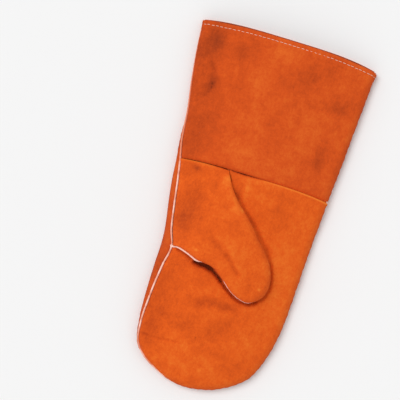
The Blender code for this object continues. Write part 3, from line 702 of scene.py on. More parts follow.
def thumb_point(row, side, travel):
    """Points of the thumb's skin: the outer face above its widest line, the inner one below."""
    edge_x, edge_y = edge_of(row, side)
    lift, shoulder = row.left_lift, row.left_shoulder
    if side > 0:
        lift, shoulder = row.right_lift, row.right_shoulder
    inset, lean = round_over(np.abs(travel), THUMB_QUARTER, THUMB_IN, 1.0)
    share = np.minimum(inset / run_of(row, side), 1.0)
    x = edge_x + (row.spine_x - edge_x) * share
    y = edge_y + (row.spine_y - edge_y) * share
    y = np.minimum(y, cross_seam_y(x) - CROSS_SEAM_HALF)
    palm = top_height(x, y)
    dome = (row.crown - lift - shoulder) * (1 - (1 - share) ** 2)
    below = palm + lift - (lift - GAP) * lean
    above = palm + lift + shoulder * lean + dome
    return x, y, np.where(travel < 0, below, above)


def side_seam_x(y):
    """The side seam's x on the left, at a given y of the edge."""
    row = body.row(body.distance_where("left_y", y))
    return body_point(row, -1, row.left_climb)[0]


def thumb_row(distance):
    """Rows of the thumb, whose left end is on the side seam down to the crotch."""
    row = thumb.row(distance)
    on_seam = side_seam_x(row.left_y)
    past = distance - thumb.at[CROTCH_STATION]
    edge_x, edge_y = np.array(LOWER_EDGE).T
    beside = (past > 0) & (row.left_x < edge_x[-1])
    return row._replace(
        left_x=np.where(past > 0, row.left_x, on_seam),
        left_y=np.where(beside, np.interp(row.left_x, edge_x, edge_y), row.left_y),
        left_lift=row.left_lift * smooth_step(past / CROTCH_RISE),
    )


def inner_start_right(row):
    """Travel below the fold on the right at which the inner face starts."""
    return np.maximum(FOLD_GAP - row.fold_end, THUMB_SEAM_HALF)


def thumb_start(row):
    """Travel at which the outer face starts on its left: beside the side seam, then the welt."""
    turn = math.acos(1 - ROOT_SEAM_SHARE * SEAM_HALF / THUMB_IN)
    beside_seam = THUMB_QUARTER * turn / (math.pi / 2)
    share = np.minimum(row.left_lift / THUMB[CROTCH_STATION + 1].left_lift, 1.0)
    return beside_seam + (THUMB_SEAM_HALF - beside_seam) * share


def stacked(point, row, side, travel):
    return np.stack(np.broadcast_arrays(*point(row, side, travel)), axis=-1)


def skin(point, row_at, side, distance, travel):
    """Places on a skin and the outward directions there."""
    row = row_at(distance)
    place = stacked(point, row, side, travel)
    along = stacked(point, row_at(distance + NUDGE), side, travel)
    along -= stacked(point, row_at(distance - NUDGE), side, travel)
    across = stacked(point, row, side, travel + NUDGE) - stacked(point, row, side, travel - NUDGE)
    outward = -side * np.cross(along, across)
    length = np.linalg.norm(outward, axis=-1, keepdims=True)
    facing = np.where(np.broadcast_to(travel, place.shape[:-1]) < 0, -1.0, 1.0)[..., None]
    upright = facing * np.array([0.0, 0.0, 1.0])
    outward = np.where(length < FLAT_BELOW, upright, outward / np.maximum(length, FLAT_BELOW))
    turned_over = outward[..., 2:] * facing < TURNED_OVER
    return place, np.where(turned_over, -outward, outward)


def broad_form(x, y, marks):
    """How far swells lift the skin, less what creases and dents draw in."""
    drawn_in = [groove_depth(x, y, crease) for crease in marks.creases]
    drawn_in += [dent.depth * blob(x, y, dent) for dent in marks.dents]
    return swelling(x, y, marks.swells) - sum(drawn_in)


def blob(x, y, spot):
    """1 in the middle of an oval spot, falling to nothing round it."""
    turn = math.radians(spot.angle)
    along = (x - spot.x) * math.cos(turn) + (y - spot.y) * math.sin(turn)
    across = (y - spot.y) * math.cos(turn) - (x - spot.x) * math.sin(turn)
    return hump(np.hypot(along / spot.half_x, across / spot.half_y))


def unevenness(x, y, size, seed):
    """Smooth swells of about size millimetres, mostly from -1 to 1: long waves that cross."""
    draw = np.random.default_rng(seed)
    total = np.zeros_like(x)
    for _ in range(WAVES):
        turn, phase = draw.uniform(0, 2 * math.pi, 2)
        length = size * draw.uniform(*WAVE_LENGTHS)
        total += np.sin(2 * math.pi * (x * math.cos(turn) + y * math.sin(turn)) / length + phase)
    return total / math.sqrt(WAVES)


def swelling(x, y, swells):
    return sum(swell.height * unevenness(x, y, swell.size, swell.seed) for swell in swells)


def spread_to(start, end, count, lean=1.0):
    """Travels from start to end, closer together at the start when lean is above 1."""
    return start + (end - start) * (np.arange(count + 1) / count) ** lean


def steps_between(start, end, step):
    """Distances from start to end, all about one step apart."""
    return np.linspace(start, end, max(round((end - start) / step), 1) + 1)


# One value or vector for each point of a grid; distance lies along the rows' loft
Surface = namedtuple("Surface", "place normal x y distance from_edge", defaults=[None] * 4)
Rows = namedtuple("Rows", "distance depth")  # depth: below the mitt's outer skin


def surface_of(point, row_at, halves):
    """A grid of rows by columns from the left edge over the spine to the right one."""
    parts = []
    for side, distance, travel, from_edge in halves:
        place, normal = skin(point, row_at, side, distance, travel)
        part = [place, normal, np.broadcast_to(distance, travel.shape), from_edge]
        if side > 0:
            part = [grid[:, -2::-1] for grid in part]
        parts.append(part)
    place, normal, distance, from_edge = (np.concatenate(pair, axis=1) for pair in zip(*parts))
    return Surface(place, normal, place[..., 0], place[..., 1], distance, from_edge)


def folded_shut(surface):
    """The same with one direction for the two halves of the last row, which meet."""
    last = surface.normal[-1] + surface.normal[-1, ::-1]
    surface.normal[-1] = last / np.linalg.norm(last, axis=-1, keepdims=True)
    return surface


def moved(surface, height):
    return surface.place + surface.normal * height[..., None]


def quads(index):
    """Faces over a grid of vertex numbers, facing up where rows run down and columns right."""
    corners = [index[:-1, :-1], index[1:, :-1], index[1:, 1:], index[:-1, 1:]]
    return np.stack(corners, axis=-1).reshape(-1, 4)


def travelled(path):
    """Distance along a path to each of its points."""
    return np.append(0.0, np.cumsum(np.linalg.norm(np.diff(path, axis=0), axis=1)))


def put_in_scene(name, data):
    """A new object in the scene, made of a mesh, a light or a camera."""
    thing = bpy.data.objects.new(name, data)
    bpy.context.scene.collection.objects.link(thing)
    return thing


def mesh_object(name, places, faces, materials):
    data = bpy.data.meshes.new(name)
    data.from_pydata((np.asarray(places) * MM).tolist(), [], faces)
    data.shade_smooth()
    for material in materials:
        data.materials.append(material)
    thing = put_in_scene(name, data)
    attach(thing, "root")
    return thing


def give_points(thing, label, values):
    """Stores one value for each point of a mesh, which its material reads."""
    attribute = thing.data.attributes.new(label, "FLOAT", "POINT")
    attribute.data.foreach_set("value", np.ravel(values).astype(np.float32))


def leather_sheet(name, outer, inner, tone, soil, materials, faces_up=True, shut=False):
    """One panel between its outer and its inner skin, with a rim round its free edges.

    When it is shut, the two halves of its last row meet and are joined.
    """
    rows, columns = outer.shape[:2]
    top = np.arange(rows * columns).reshape(rows, columns)
    low = top + rows * columns
    rims = [
        np.stack([low[:, 0], top[:, 0]], axis=1),
        np.stack([top[:, -1], low[:, -1]], axis=1),
        np.stack([low[0, ::-1], top[0, ::-1]], axis=1),
    ]
    if not shut:
        rims.append(np.stack([low[-1], top[-1]], axis=1))
    outside = quads(top)
    inside = np.vstack([quads(low)[:, ::-1]] + [quads(rim) for rim in rims])
    faces = np.vstack([outside, inside])
    if not faces_up:
        faces = faces[:, ::-1]
    places = np.vstack([outer.reshape(-1, 3), inner.reshape(-1, 3)])
    thing = mesh_object(name, places, faces.tolist(), materials)
    slots = np.repeat([0, 1], [len(outside), len(inside)])
    thing.data.polygons.foreach_set("material_index", slots.astype(np.int32))
    # tone and soil carry the hide's dye and marks, and also painted shade and highlights
    give_points(thing, "tone", [tone, tone])
    give_points(thing, "soil", [soil, soil])
    if shut:
        weld_last_rows(thing.data, rows, columns)
    return thing


def weld_last_rows(data, rows, columns):
    """Joins the two halves of the last row, and the rows' points crowded at the spine's end."""
    mesh = bmesh.new()
    mesh.from_mesh(data)
    count = rows * columns
    spine = columns // 2
    crowded = [v for v in mesh.verts if abs(v.index % columns - spine) <= SPINE_COLUMNS]
    crowded = [v for v in crowded if v.index % count >= count - columns * SPINE_ROWS]
    ends = [v for v in mesh.verts if v.index % count >= count - columns]
    bmesh.ops.remove_doubles(mesh, verts=ends, dist=MEETING * MM)
    crowded = [v for v in crowded if v.is_valid]
    bmesh.ops.remove_doubles(mesh, verts=crowded, dist=CROWDED * MM)
    mesh.to_mesh(data)
    mesh.free()


def tube(path, radii, sides):
    """Places and faces of a round strip along a path, with closed ends."""
    path = np.asarray(path)
    ahead = np.gradient(path, axis=0)
    ahead /= np.linalg.norm(ahead, axis=1, keepdims=True)
    aside = np.cross(ahead, [0.0, 0.0, 1.0])
    aside /= np.linalg.norm(aside, axis=1, keepdims=True)
    upward = np.cross(aside, ahead)
    turns = np.arange(sides) * 2 * math.pi / sides
    ring = aside[:, None] * np.cos(turns)[:, None] + upward[:, None] * np.sin(turns)[:, None]
    places = path[:, None] + ring * np.asarray(radii)[:, None, None]
    index = np.arange(len(path) * sides).reshape(len(path), sides)
    index = np.hstack([index, index[:, :1]])
    faces = quads(index).tolist()
    faces += [index[0, :sides].tolist(), index[-1, :sides][::-1].tolist()]
    return places.reshape(-1, 3), faces


def joined(shapes):
    """Places and faces of several shapes as one."""
    places, faces = [], []
    count = 0
    for some_places, some_faces in shapes:
        places.append(some_places)
        faces += [[corner + count for corner in face] for face in some_faces]
        count += len(some_places)
    return np.vstack(places), faces


def add_node(tree, kind, settings=None, **inputs):
    """Adds a node, sets its properties, and sets or links its inputs, named by their labels."""
    node = tree.nodes.new(kind)
    for name, value in (settings or {}).items():
        setattr(node, name, value)
    for name, value in inputs.items():
        place = int(name[1:]) if name[1:].isdigit() else name.replace("_", " ")
        if isinstance(value, bpy.types.NodeSocket):
            tree.links.new(value, node.inputs[place])
        else:
            node.inputs[place].default_value = value
    return node


def new_material(name):
    material = bpy.data.materials.new(name)
    material.use_nodes = True
    material.node_tree.nodes.clear()
    return material, material.node_tree


def add_surface(tree, **inputs):
    """The shader with its inputs, and the material's output behind it."""
    shader = add_node(tree, "ShaderNodeBsdfPrincipled", **inputs)
    add_node(tree, "ShaderNodeOutputMaterial", Surface=shader.outputs["BSDF"])


def per_metre(millimetres):
    """Scale of a pattern whose unit is that large."""
    return 1 / (millimetres * MM)


def opaque(colour, light=1.0):
    """A colour as a node takes it, or that share of its light."""
    return (*(light * channel for channel in colour), 1.0)


def suede_material(name, deep, main, bright, soil):
    """Split cowhide, drum-dyed orange and brushed to a nap.

    The nap scatters light, so it is matt, cloudy in large and small patches, and has a faint
    bright bloom where it is seen edge on. Handling has left grey brown marks in places, and the
    same grey brown is also painted shade on edges, in crevices and under the thumb.
    """
    material, tree = new_material(name)
    place = add_node(tree, "ShaderNodeTexCoord").outputs["Object"]
    stretched = add_node(
        tree, "ShaderNodeMapping", Vector=place, Rotation=FIBRE_TURN, Scale=FIBRE_SQUEEZE
    )
    tone = add_node(tree, "ShaderNodeAttribute", {"attribute_name": "tone"}).outputs["Fac"]
    clouds = {}
    for kind, noise in SUEDE_NOISE.items():
        clouds[kind] = add_node(
            tree, "ShaderNodeTexNoise", Scale=per_metre(noise.size), Detail=noise.detail,
            Roughness=noise.roughness, Distortion=noise.distortion,
            Vector=stretched.outputs["Vector"] if kind == "fibres" else place,
        ).outputs["Fac"]
        centred = add_node(
            tree, "ShaderNodeMath", {"operation": "SUBTRACT"}, _0=clouds[kind], _1=0.5
        )
        tone = add_node(
            tree, "ShaderNodeMath", {"operation": "MULTIPLY_ADD"}, _0=centred.outputs[0],
            _1=noise.weight, _2=tone,
        ).outputs[0]
    tone = add_node(
        tree, "ShaderNodeMath", {"operation": "ADD", "use_clamp": True}, _0=tone, _1=0.5
    )
    ramp = add_node(tree, "ShaderNodeValToRGB", Fac=tone.outputs[0])
    stops = ramp.color_ramp.elements
    stops[0].position = DEEP_AT
    stops[0].color = opaque(deep)
    stops[1].position = BRIGHT_AT
    stops[1].color = opaque(bright)
    stops.new(MAIN_AT).color = opaque(main)
    # painted shade: below the darkest dye the ramp dims to SHADOWED of its light, for deep
    # crevices
    stops.new(0.0).color = opaque(deep, light=SHADOWED)
    # soil: grey brown handling marks, and painted shade on edges, in the crevice and under the
    # thumb
    marks = add_node(tree, "ShaderNodeAttribute", {"attribute_name": "soil"}).outputs["Fac"]
    colour = add_node(
        tree, "ShaderNodeMix", {"data_type": "RGBA"}, Factor=marks, _6=ramp.outputs["Color"],
        _7=opaque(soil),
    )
    relief = add_node(
        tree, "ShaderNodeMath", {"operation": "MULTIPLY_ADD"}, _0=clouds["specks"],
        _1=SPECK_RELIEF, _2=clouds["nap"],
    )
    bump = add_node(
        tree, "ShaderNodeBump", Strength=0.7, Distance=SUEDE_RELIEF * MM,
        Height=relief.outputs[0],
    )
    add_surface(
        tree, Base_Color=colour.outputs[2], Roughness=0.93, Normal=bump.outputs["Normal"],
        Specular_IOR_Level=0.12, Sheen_Weight=0.06, Sheen_Roughness=0.5, Sheen_Tint=opaque(bright),
    )
    return material


def raw_side_material(name, colour):
    """The unbrushed inner side and the cut edges of the same hide.

    They are paler and duller than the dyed face, with loose fibres that show as streaks.
    """
    material, tree = new_material(name)
    place = add_node(tree, "ShaderNodeTexCoord").outputs["Object"]
    fibres = add_node(
        tree, "ShaderNodeTexNoise", Vector=place, Scale=per_metre(RAW_FIBRE), Detail=5.0,
        Roughness=0.7,
    )
    shade = add_node(
        tree, "ShaderNodeMix", {"data_type": "RGBA", "blend_type": "MULTIPLY"}, Factor=0.35,
        _6=opaque(colour), _7=fibres.outputs["Color"],
    )
    bump = add_node(
        tree, "ShaderNodeBump", Strength=0.6, Distance=RAW_RELIEF * MM,
        Height=fibres.outputs["Fac"],
    )
    add_surface(
        tree, Base_Color=shade.outputs[2], Roughness=0.95, Normal=bump.outputs["Normal"]
    )
    return material


def welt_material(colour, stain):
    """Undyed split leather, cut in a narrow strip and folded into the seam.

    It is off-white and dull, and dye from the hide beside it has run in and left it pink. Towards
    the cuff's mouth more of it is stained.
    """
    material, tree = new_material("undyed_split_leather")
    place = add_node(tree, "ShaderNodeTexCoord").outputs["Object"]
    grain = add_node(
        tree, "ShaderNodeTexNoise", Vector=place, Scale=per_metre(WELT_GRAIN), Detail=4.0,
        Roughness=0.6,
    )
    stains = add_node(
        tree, "ShaderNodeTexNoise", Vector=place, Scale=per_metre(WELT_STAIN), Detail=2.0,
        Roughness=0.5,
    )
    soil = add_node(tree, "ShaderNodeAttribute", {"attribute_name": "soil"}).outputs["Fac"]
    paleness = add_node(
        tree, "ShaderNodeMath", {"operation": "SUBTRACT"}, _0=stains.outputs["Fac"], _1=soil
    )
    ramp = add_node(tree, "ShaderNodeValToRGB", Fac=paleness.outputs[0])
    stops = ramp.color_ramp.elements
    stops[0].position = WELT_STAINED_AT
    stops[0].color = opaque(stain)
    stops[1].position = WELT_CLEAN_AT
    stops[1].color = opaque(colour)
    bump = add_node(
        tree, "ShaderNodeBump", Strength=0.5, Distance=WELT_RELIEF * MM,
        Height=grain.outputs["Fac"],
    )
    add_surface(
        tree, Base_Color=ramp.outputs["Color"], Roughness=0.8, Normal=bump.outputs["Normal"]
    )
    return material


def thread_material(colour):
    """Spun aramid sewing thread, three strands twisted.

    It is pale and slightly glossy, with a fine twist across it.
    """
    material, tree = new_material("spun_aramid_thread")
    place = add_node(tree, "ShaderNodeTexCoord").outputs["Object"]
    twist = add_node(
        tree, "ShaderNodeTexWave", {"wave_type": "BANDS", "bands_direction": "DIAGONAL"},
        Vector=place, Scale=per_metre(TWIST), Distortion=1.0,
    )
    bump = add_node(
        tree, "ShaderNodeBump", Strength=0.5, Distance=TWIST_RELIEF * MM,
        Height=twist.outputs["Fac"],
    )
    add_surface(tree, Base_Color=opaque(colour), Roughness=0.55, Normal=bump.outputs["Normal"])
    return material


def floor_material(colour):
    """Seamless paper sweep: matt and even."""
    material, tree = new_material("seamless_paper")
    add_surface(tree, Base_Color=opaque(colour), Roughness=0.9, Specular_IOR_Level=0.1)
    return material


def hide_of(part, shade, colours):
    """The two sides of one part's hide, each made the first time that a piece asks for it."""
    shades = [getattr(colours, f"{shade}_{depth}") for depth in ("deep", "body", "bright")]
    sides = (
        (f"brushed_split_cowhide_{part}", suede_material, [*shades, colours.soil]),
        ("unbrushed_split_cowhide", raw_side_material, [colours.raw_side]),
    )
    return [bpy.data.materials.get(name) or make(name, *dyes) for name, make, dyes in sides]


def hemmed_rows(sizes, *stretches):
    """Rows of the outer and of the inner skin of a panel with a hem.

    They begin at the cut edge inside, go round the turn at the mouth and on along each stretch,
    which is given by its end and its step.
    """
    wall = sizes.wall / MM
    bend = wall + HEM_SLACK
    turned = steps_between(sizes.hem_width / MM, bend, HEM_ROW_STEP)[:-1]
    angle = np.linspace(math.pi, 0.0, HEM_TURN_ROWS)
    plain = np.array([bend])
    for end, step in ((HEM_END_ROWS_TO, HEM_END_ROW_STEP), *stretches):
        plain = np.append(plain, steps_between(plain[-1], end, step)[1:])
    plain = plain[1:]
    rows = []
    for depth in (0.0, wall):
        radius = bend - depth
        inside = np.full(len(turned), 2 * bend - depth)
        beyond = np.full(len(plain), depth)
        rows.append(Rows(
            np.concatenate([turned, bend - radius * np.sin(angle), plain]),
            np.concatenate([inside, bend - radius * np.cos(angle), beyond]),
        ))
    return rows


def ridge_share(where, ridge):
    """1 on a ridge's middle line, falling to nothing on either side."""
    return hump((where - ridge.middle) / ridge.spread)


def hem_form(distance, x, sizes):
    """How the stitch line pinches the turned leather, and the step where the turning ends."""
    line = sizes.hem_stitch_line / MM
    pitch = (sizes.stitch + sizes.stitch_gap) / MM
    pinch = HEM_PINCH + HEM_PINCH_CHANGE * np.cos(2 * math.pi * x / pitch)
    groove = -pinch * hump((distance - line) / HEM_PINCH_SPREAD)
    puffed = HEM_PUFF * hump((distance - line / 2) / HEM_PUFF_SPREAD)
    past = distance - sizes.hem_width / MM
    step = -HEM_STEP * smooth_step(past / HEM_STEP_OVER)
    return groove + puffed + step * np.exp(-np.maximum(past, 0) / HEM_STEP_FADE)


def seam_roll(surface, depth=SEAM_ROLL):
    """A panel's edge rolls down beside its seam."""
    share = np.clip(surface.from_edge / SEAM_ROLL_RADIUS, 0.0, 1.0)
    return -depth * (1 - np.sqrt(1 - (1 - share) ** 2))


def seam_pucker(surface, marks):
    """The leather stands up beside a seam and is gathered a little by its stitches."""
    wave = np.sin(2 * math.pi * surface.distance / GATHER_LENGTH + marks.phase)
    gathers = GATHER * wave + GATHER_CHANGE * np.sin(surface.distance / GATHER_CHANGE_LENGTH)
    return (PUCKER.height + gathers) * ridge_share(surface.from_edge, PUCKER)


def lip_share(x):
    """How plainly the lip shows along the cross seam: least in the middle, beside the thumb."""
    more = LIP_MORE * smooth_step((x - LIP_MORE_FROM) / LIP_MORE_OVER)
    return 1 - LIP_LESS.height * ridge_share(x, LIP_LESS) + more


def cross_seam_form(below, x):
    """The palm's edge stands up as a thin lip below the cross seam; above, the cuff dives in."""
    share = lip_share(x)
    lip = LIP.height * share * ridge_share(below, LIP)
    root = LIP_ROOT * (1 - smooth_step(below / LIP_ROOT_OVER))
    drawn_in = DRAWN_IN.height * (1 - share) * ridge_share(below, DRAWN_IN)
    dive = CUFF_DIVE * (1 - smooth_step(-below / CUFF_DIVE_OVER))
    return np.where(below > 0, lip - root - drawn_in, -dive)


def cross_seam_wear_and_painted_light(below, x):
    """The lip gets a painted highlight, partly rubbed wear, and where it hardly shows the seam
    gets painted shade as a dark groove.
    """
    share = lip_share(x)
    rubbed_and_highlit = LIP_RUBBED_AND_HIGHLIT.height * share * ridge_share(below, LIP_RUBBED_AND_HIGHLIT)
    dark = (1 - share) * ridge_share(below, GROOVE_PAINTED_SHADE)
    on_palm = rubbed_and_highlit - GROOVE_PAINTED_SHADE.height * dark
    return np.where(below > 0, on_palm, -GROOVE_PAINTED_SHADE_ON_CUFF * dark)


def trim_at(side, share, trim):
    """How far the front's hem falls short of the back's, at a share of the way to the spine."""
    at_corner = LEFT_TRIM_SHARE if side < 0 else RIGHT_TRIM_SHARE
    return trim * (at_corner + (1 - at_corner) * smooth_step(share / WHOLE_TRIM_FROM))


def edge_painted_shade(surface):
    """Painted shade: grey brown on the rounded edges, most where the leather stands upright."""
    upright = EDGE_PAINTED_SHADE_FROM - np.abs(surface.normal[..., 2])
    return EDGE_PAINTED_SHADE * smooth_step(upright / EDGE_PAINTED_SHADE_OVER)


def hem_soil_and_shade(depth):
    """Grey brown on the leather turned in at the mouth: soil from hands, and painted shade between
    the hems.
    """
    return HEM_SOIL_AND_SHADE * smooth_step((depth - HEM_SOIL_AND_SHADE_FROM) / HEM_SOIL_AND_SHADE_OVER)


def dyed_and_shaded(surface, marks, edge_shade_share=1.0):
    """Tone and soil of a panel, with painted shade and highlights: its places and creases, the
    cross seam and the edges.
    """
    x, y = surface.x, surface.y
    # the places' tones hold uneven dye and also painted shade over dents and creases and painted
    # highlight on raised folds
    tone = sum(spot.amount * blob(x, y, spot) for spot in marks.tones)
    soil = np.clip(GREYED_BELOW - tone, 0.0, 1.0) * GREYED_SHARE
    # painted shade along the creases, and painted highlight on the raised ones
    tone = tone - CREASE_PAINTED_SHADE * sum(groove_depth(x, y, crease) for crease in marks.creases)
    # painted highlight on the cross seam's lip and painted shade in its groove
    tone = tone + cross_seam_wear_and_painted_light(cross_seam_y(x) - y, x)
    return tone, soil + edge_shade_share * edge_painted_shade(surface)


def top_surface(distance, start_of, trim):
    """A grid over both halves of the mitt's top, from seam to seam."""
    share = spread_to(0.0, 1.0, TOP_COLUMNS, CLOSER_AT_EDGE)
    near_hem = smooth_step(1 - distance / TRIM_SPREAD)
    halves = []
    for side in (-1, 1):
        at = distance + trim_at(side, share, trim) * near_hem
        row = body.row(at)
        start = start_of(row, side)
        travel = start + (reach_of(row, side, EDGE_QUARTER, EDGE_IN) - start) * share
        halves.append((side, at, travel, travel - start))
    return surface_of(body_point, body.row, halves)


def top_skin(rows, sizes, start_of, marks, outer, hem=False):
    """One skin of a panel on the mitt's top, and how far its points move outwards."""
    distance, depth = rows.distance[:, None], rows.depth[:, None]
    surface = top_surface(distance, start_of, sizes.front_trim / MM if hem else 0.0)
    x, y = surface.x, surface.y
    below = cross_seam_y(x) - y
    inside_seams = smooth_step(surface.from_edge / CALM_AT_SEAM)
    calm = inside_seams * smooth_step(np.abs(below) / CALM_AT_CROSS_SEAM)
    height = broad_form(x, y, marks) * calm
    if outer:
        fine = seam_roll(surface) + seam_pucker(surface, marks)
        fine = fine + cross_seam_form(below, x) * inside_seams
        if hem:
            fine = fine + hem_form(distance, x, sizes)
        height = height + fine * smooth_step(1 - depth)
    return surface, height - depth


class MITT_OT_cuff_front(bpy.types.Operator):
    """Front of the cuff, from the turned hem at its mouth to the cross seam"""

    bl_idname = "mitt.cuff_front"
    bl_label = "Cuff front"

    def execute(self, context):
        sizes, colours = context.scene.mitt_sizes, context.scene.mitt_colours
        last = CROSS_SEAM_AT - CROSS_SEAM_HALF
        stretches = [(last - BESIDE_SEAM, ROW_STEP), (last, SEAM_ROW_STEP)]
        outer, inner = hemmed_rows(sizes, *stretches)
        face, high = top_skin(outer, sizes, top_start, CUFF_MARKS, outer=True, hem=True)
        back, low = top_skin(inner, sizes, top_start, CUFF_MARKS, outer=False, hem=True)
        tone, soil = dyed_and_shaded(face, CUFF_MARKS)
        # soil from hands and painted shade on the turned hem
        soil = soil + hem_soil_and_shade(outer.depth[:, None])
        piece = leather_sheet(
            "cuff_front_leather", moved(face, high), moved(back, low), tone, soil,
            hide_of("cuff", "cuff", colours),
        )
        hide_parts("cuff_front")
        return {"FINISHED"}


class MITT_OT_palm_panel(bpy.types.Operator):
    """Palm below the cross seam, running on under the thumb and round the fingertip"""

    bl_idname = "mitt.palm_panel"
    bl_label = "Palm"

    def execute(self, context):
        sizes, colours = context.scene.mitt_sizes, context.scene.mitt_colours
        first = CROSS_SEAM_AT + CROSS_SEAM_HALF
        distances = np.concatenate([
            steps_between(first, first + BESIDE_SEAM, SEAM_ROW_STEP)[:-1],
            steps_between(first + BESIDE_SEAM, body.length, ROW_STEP),
        ])
        skins = []
        for depth in (0.0, sizes.wall / MM):
            rows = Rows(distances, np.full(len(distances), depth))
            surface, height = top_skin(rows, sizes, palm_start, PALM_MARKS, outer=depth == 0.0)
            x, y = surface.x, surface.y
            skins.append((surface, height - valley_dip(x, y) - tucked(x, y)))
        (face, high), (back, low) = skins
        # painted shade: the crevice beside the thumb is darker and greyer for each mm of its depth
        valley = valley_dip(face.x, face.y)
        tone, soil = dyed_and_shaded(face, PALM_MARKS)
        piece = leather_sheet(
            "palm_leather", moved(folded_shut(face), high), moved(folded_shut(back), low),
            tone - CREVICE_PAINTED_SHADE * valley, soil + CREVICE_PAINTED_GREY * valley,
            hide_of("palm", "palm", colours), shut=True,
        )
        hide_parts("palm_panel")
        return {"FINISHED"}


class MITT_OT_back_panel(bpy.types.Operator):
    """Back of cuff and hand in one piece, which lies on the floor and wraps up at both sides"""

    bl_idname = "mitt.back_panel"
    bl_label = "Back"

    def execute(self, context):
        sizes, colours = context.scene.mitt_sizes, context.scene.mitt_colours
        outer, inner = hemmed_rows(sizes, (body.length, ROW_STEP))
        face, high = self.back_skin(outer, sizes, outer=True)
        back, low = self.back_skin(inner, sizes, outer=False)
        tone = swelling(face.x, face.y, BACK_DYE) + BACK_TONE
        wrapped = (1 - smooth_step(-face.normal[..., 2])) * (face.x < 0)
        # grey brown: soil from hands and painted shade on the turned hem, painted shade on the
        # upright edges, greying on the left wrap
        soil = hem_soil_and_shade(outer.depth[:, None]) + edge_painted_shade(face) + WRAP_GREYING * wrapped
        piece = leather_sheet(
            "back_leather", moved(face, high), moved(back, low), tone, soil,
            hide_of("back", "cuff", colours), faces_up=False, shut=True,
        )
        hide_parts("back_panel")
        return {"FINISHED"}

    def back_skin(self, rows, sizes, outer):
        """One skin from seam to seam under the mitt, and how far its points move outwards."""
        distance, depth = rows.distance[:, None], rows.depth[:, None]
        row = body.row(distance)
        halves = []
        for side in (-1, 1):
            start = climb_of(row, side) - SEAM_HALF
            reach = reach_of(row, side, EDGE_QUARTER, EDGE_IN)
            wrap = spread_to(start, -EDGE_QUARTER, WRAP_COLUMNS)
            floor = spread_to(-EDGE_QUARTER, -reach, FLOOR_COLUMNS)[:, 1:]
            travel = np.hstack([wrap, floor])
            halves.append((side, distance, travel, start - travel))
        surface = folded_shut(surface_of(body_point, body.row, halves))
        on_floor = smooth_step(-surface.normal[..., 2])
        swell = np.abs(swelling(surface.x, surface.y, BACK_MARKS.swells))
        height = -swell * on_floor * smooth_step(surface.from_edge / CALM_ON_BACK)
        if outer:
            fine = seam_roll(surface) + hem_form(surface.distance, surface.x, sizes)
            fine = fine + seam_pucker(surface, BACK_MARKS) * (1 - on_floor)
            height = height + fine * smooth_step(1 - depth)
        return surface, np.minimum(height - depth, lift_off_floor(surface))


def lift_off_floor(surface):
    """The most that a point may move outwards and stay on the floor or above it."""
    down = np.maximum(-surface.normal[..., 2], UPRIGHT)
    return surface.place[..., 2] / down


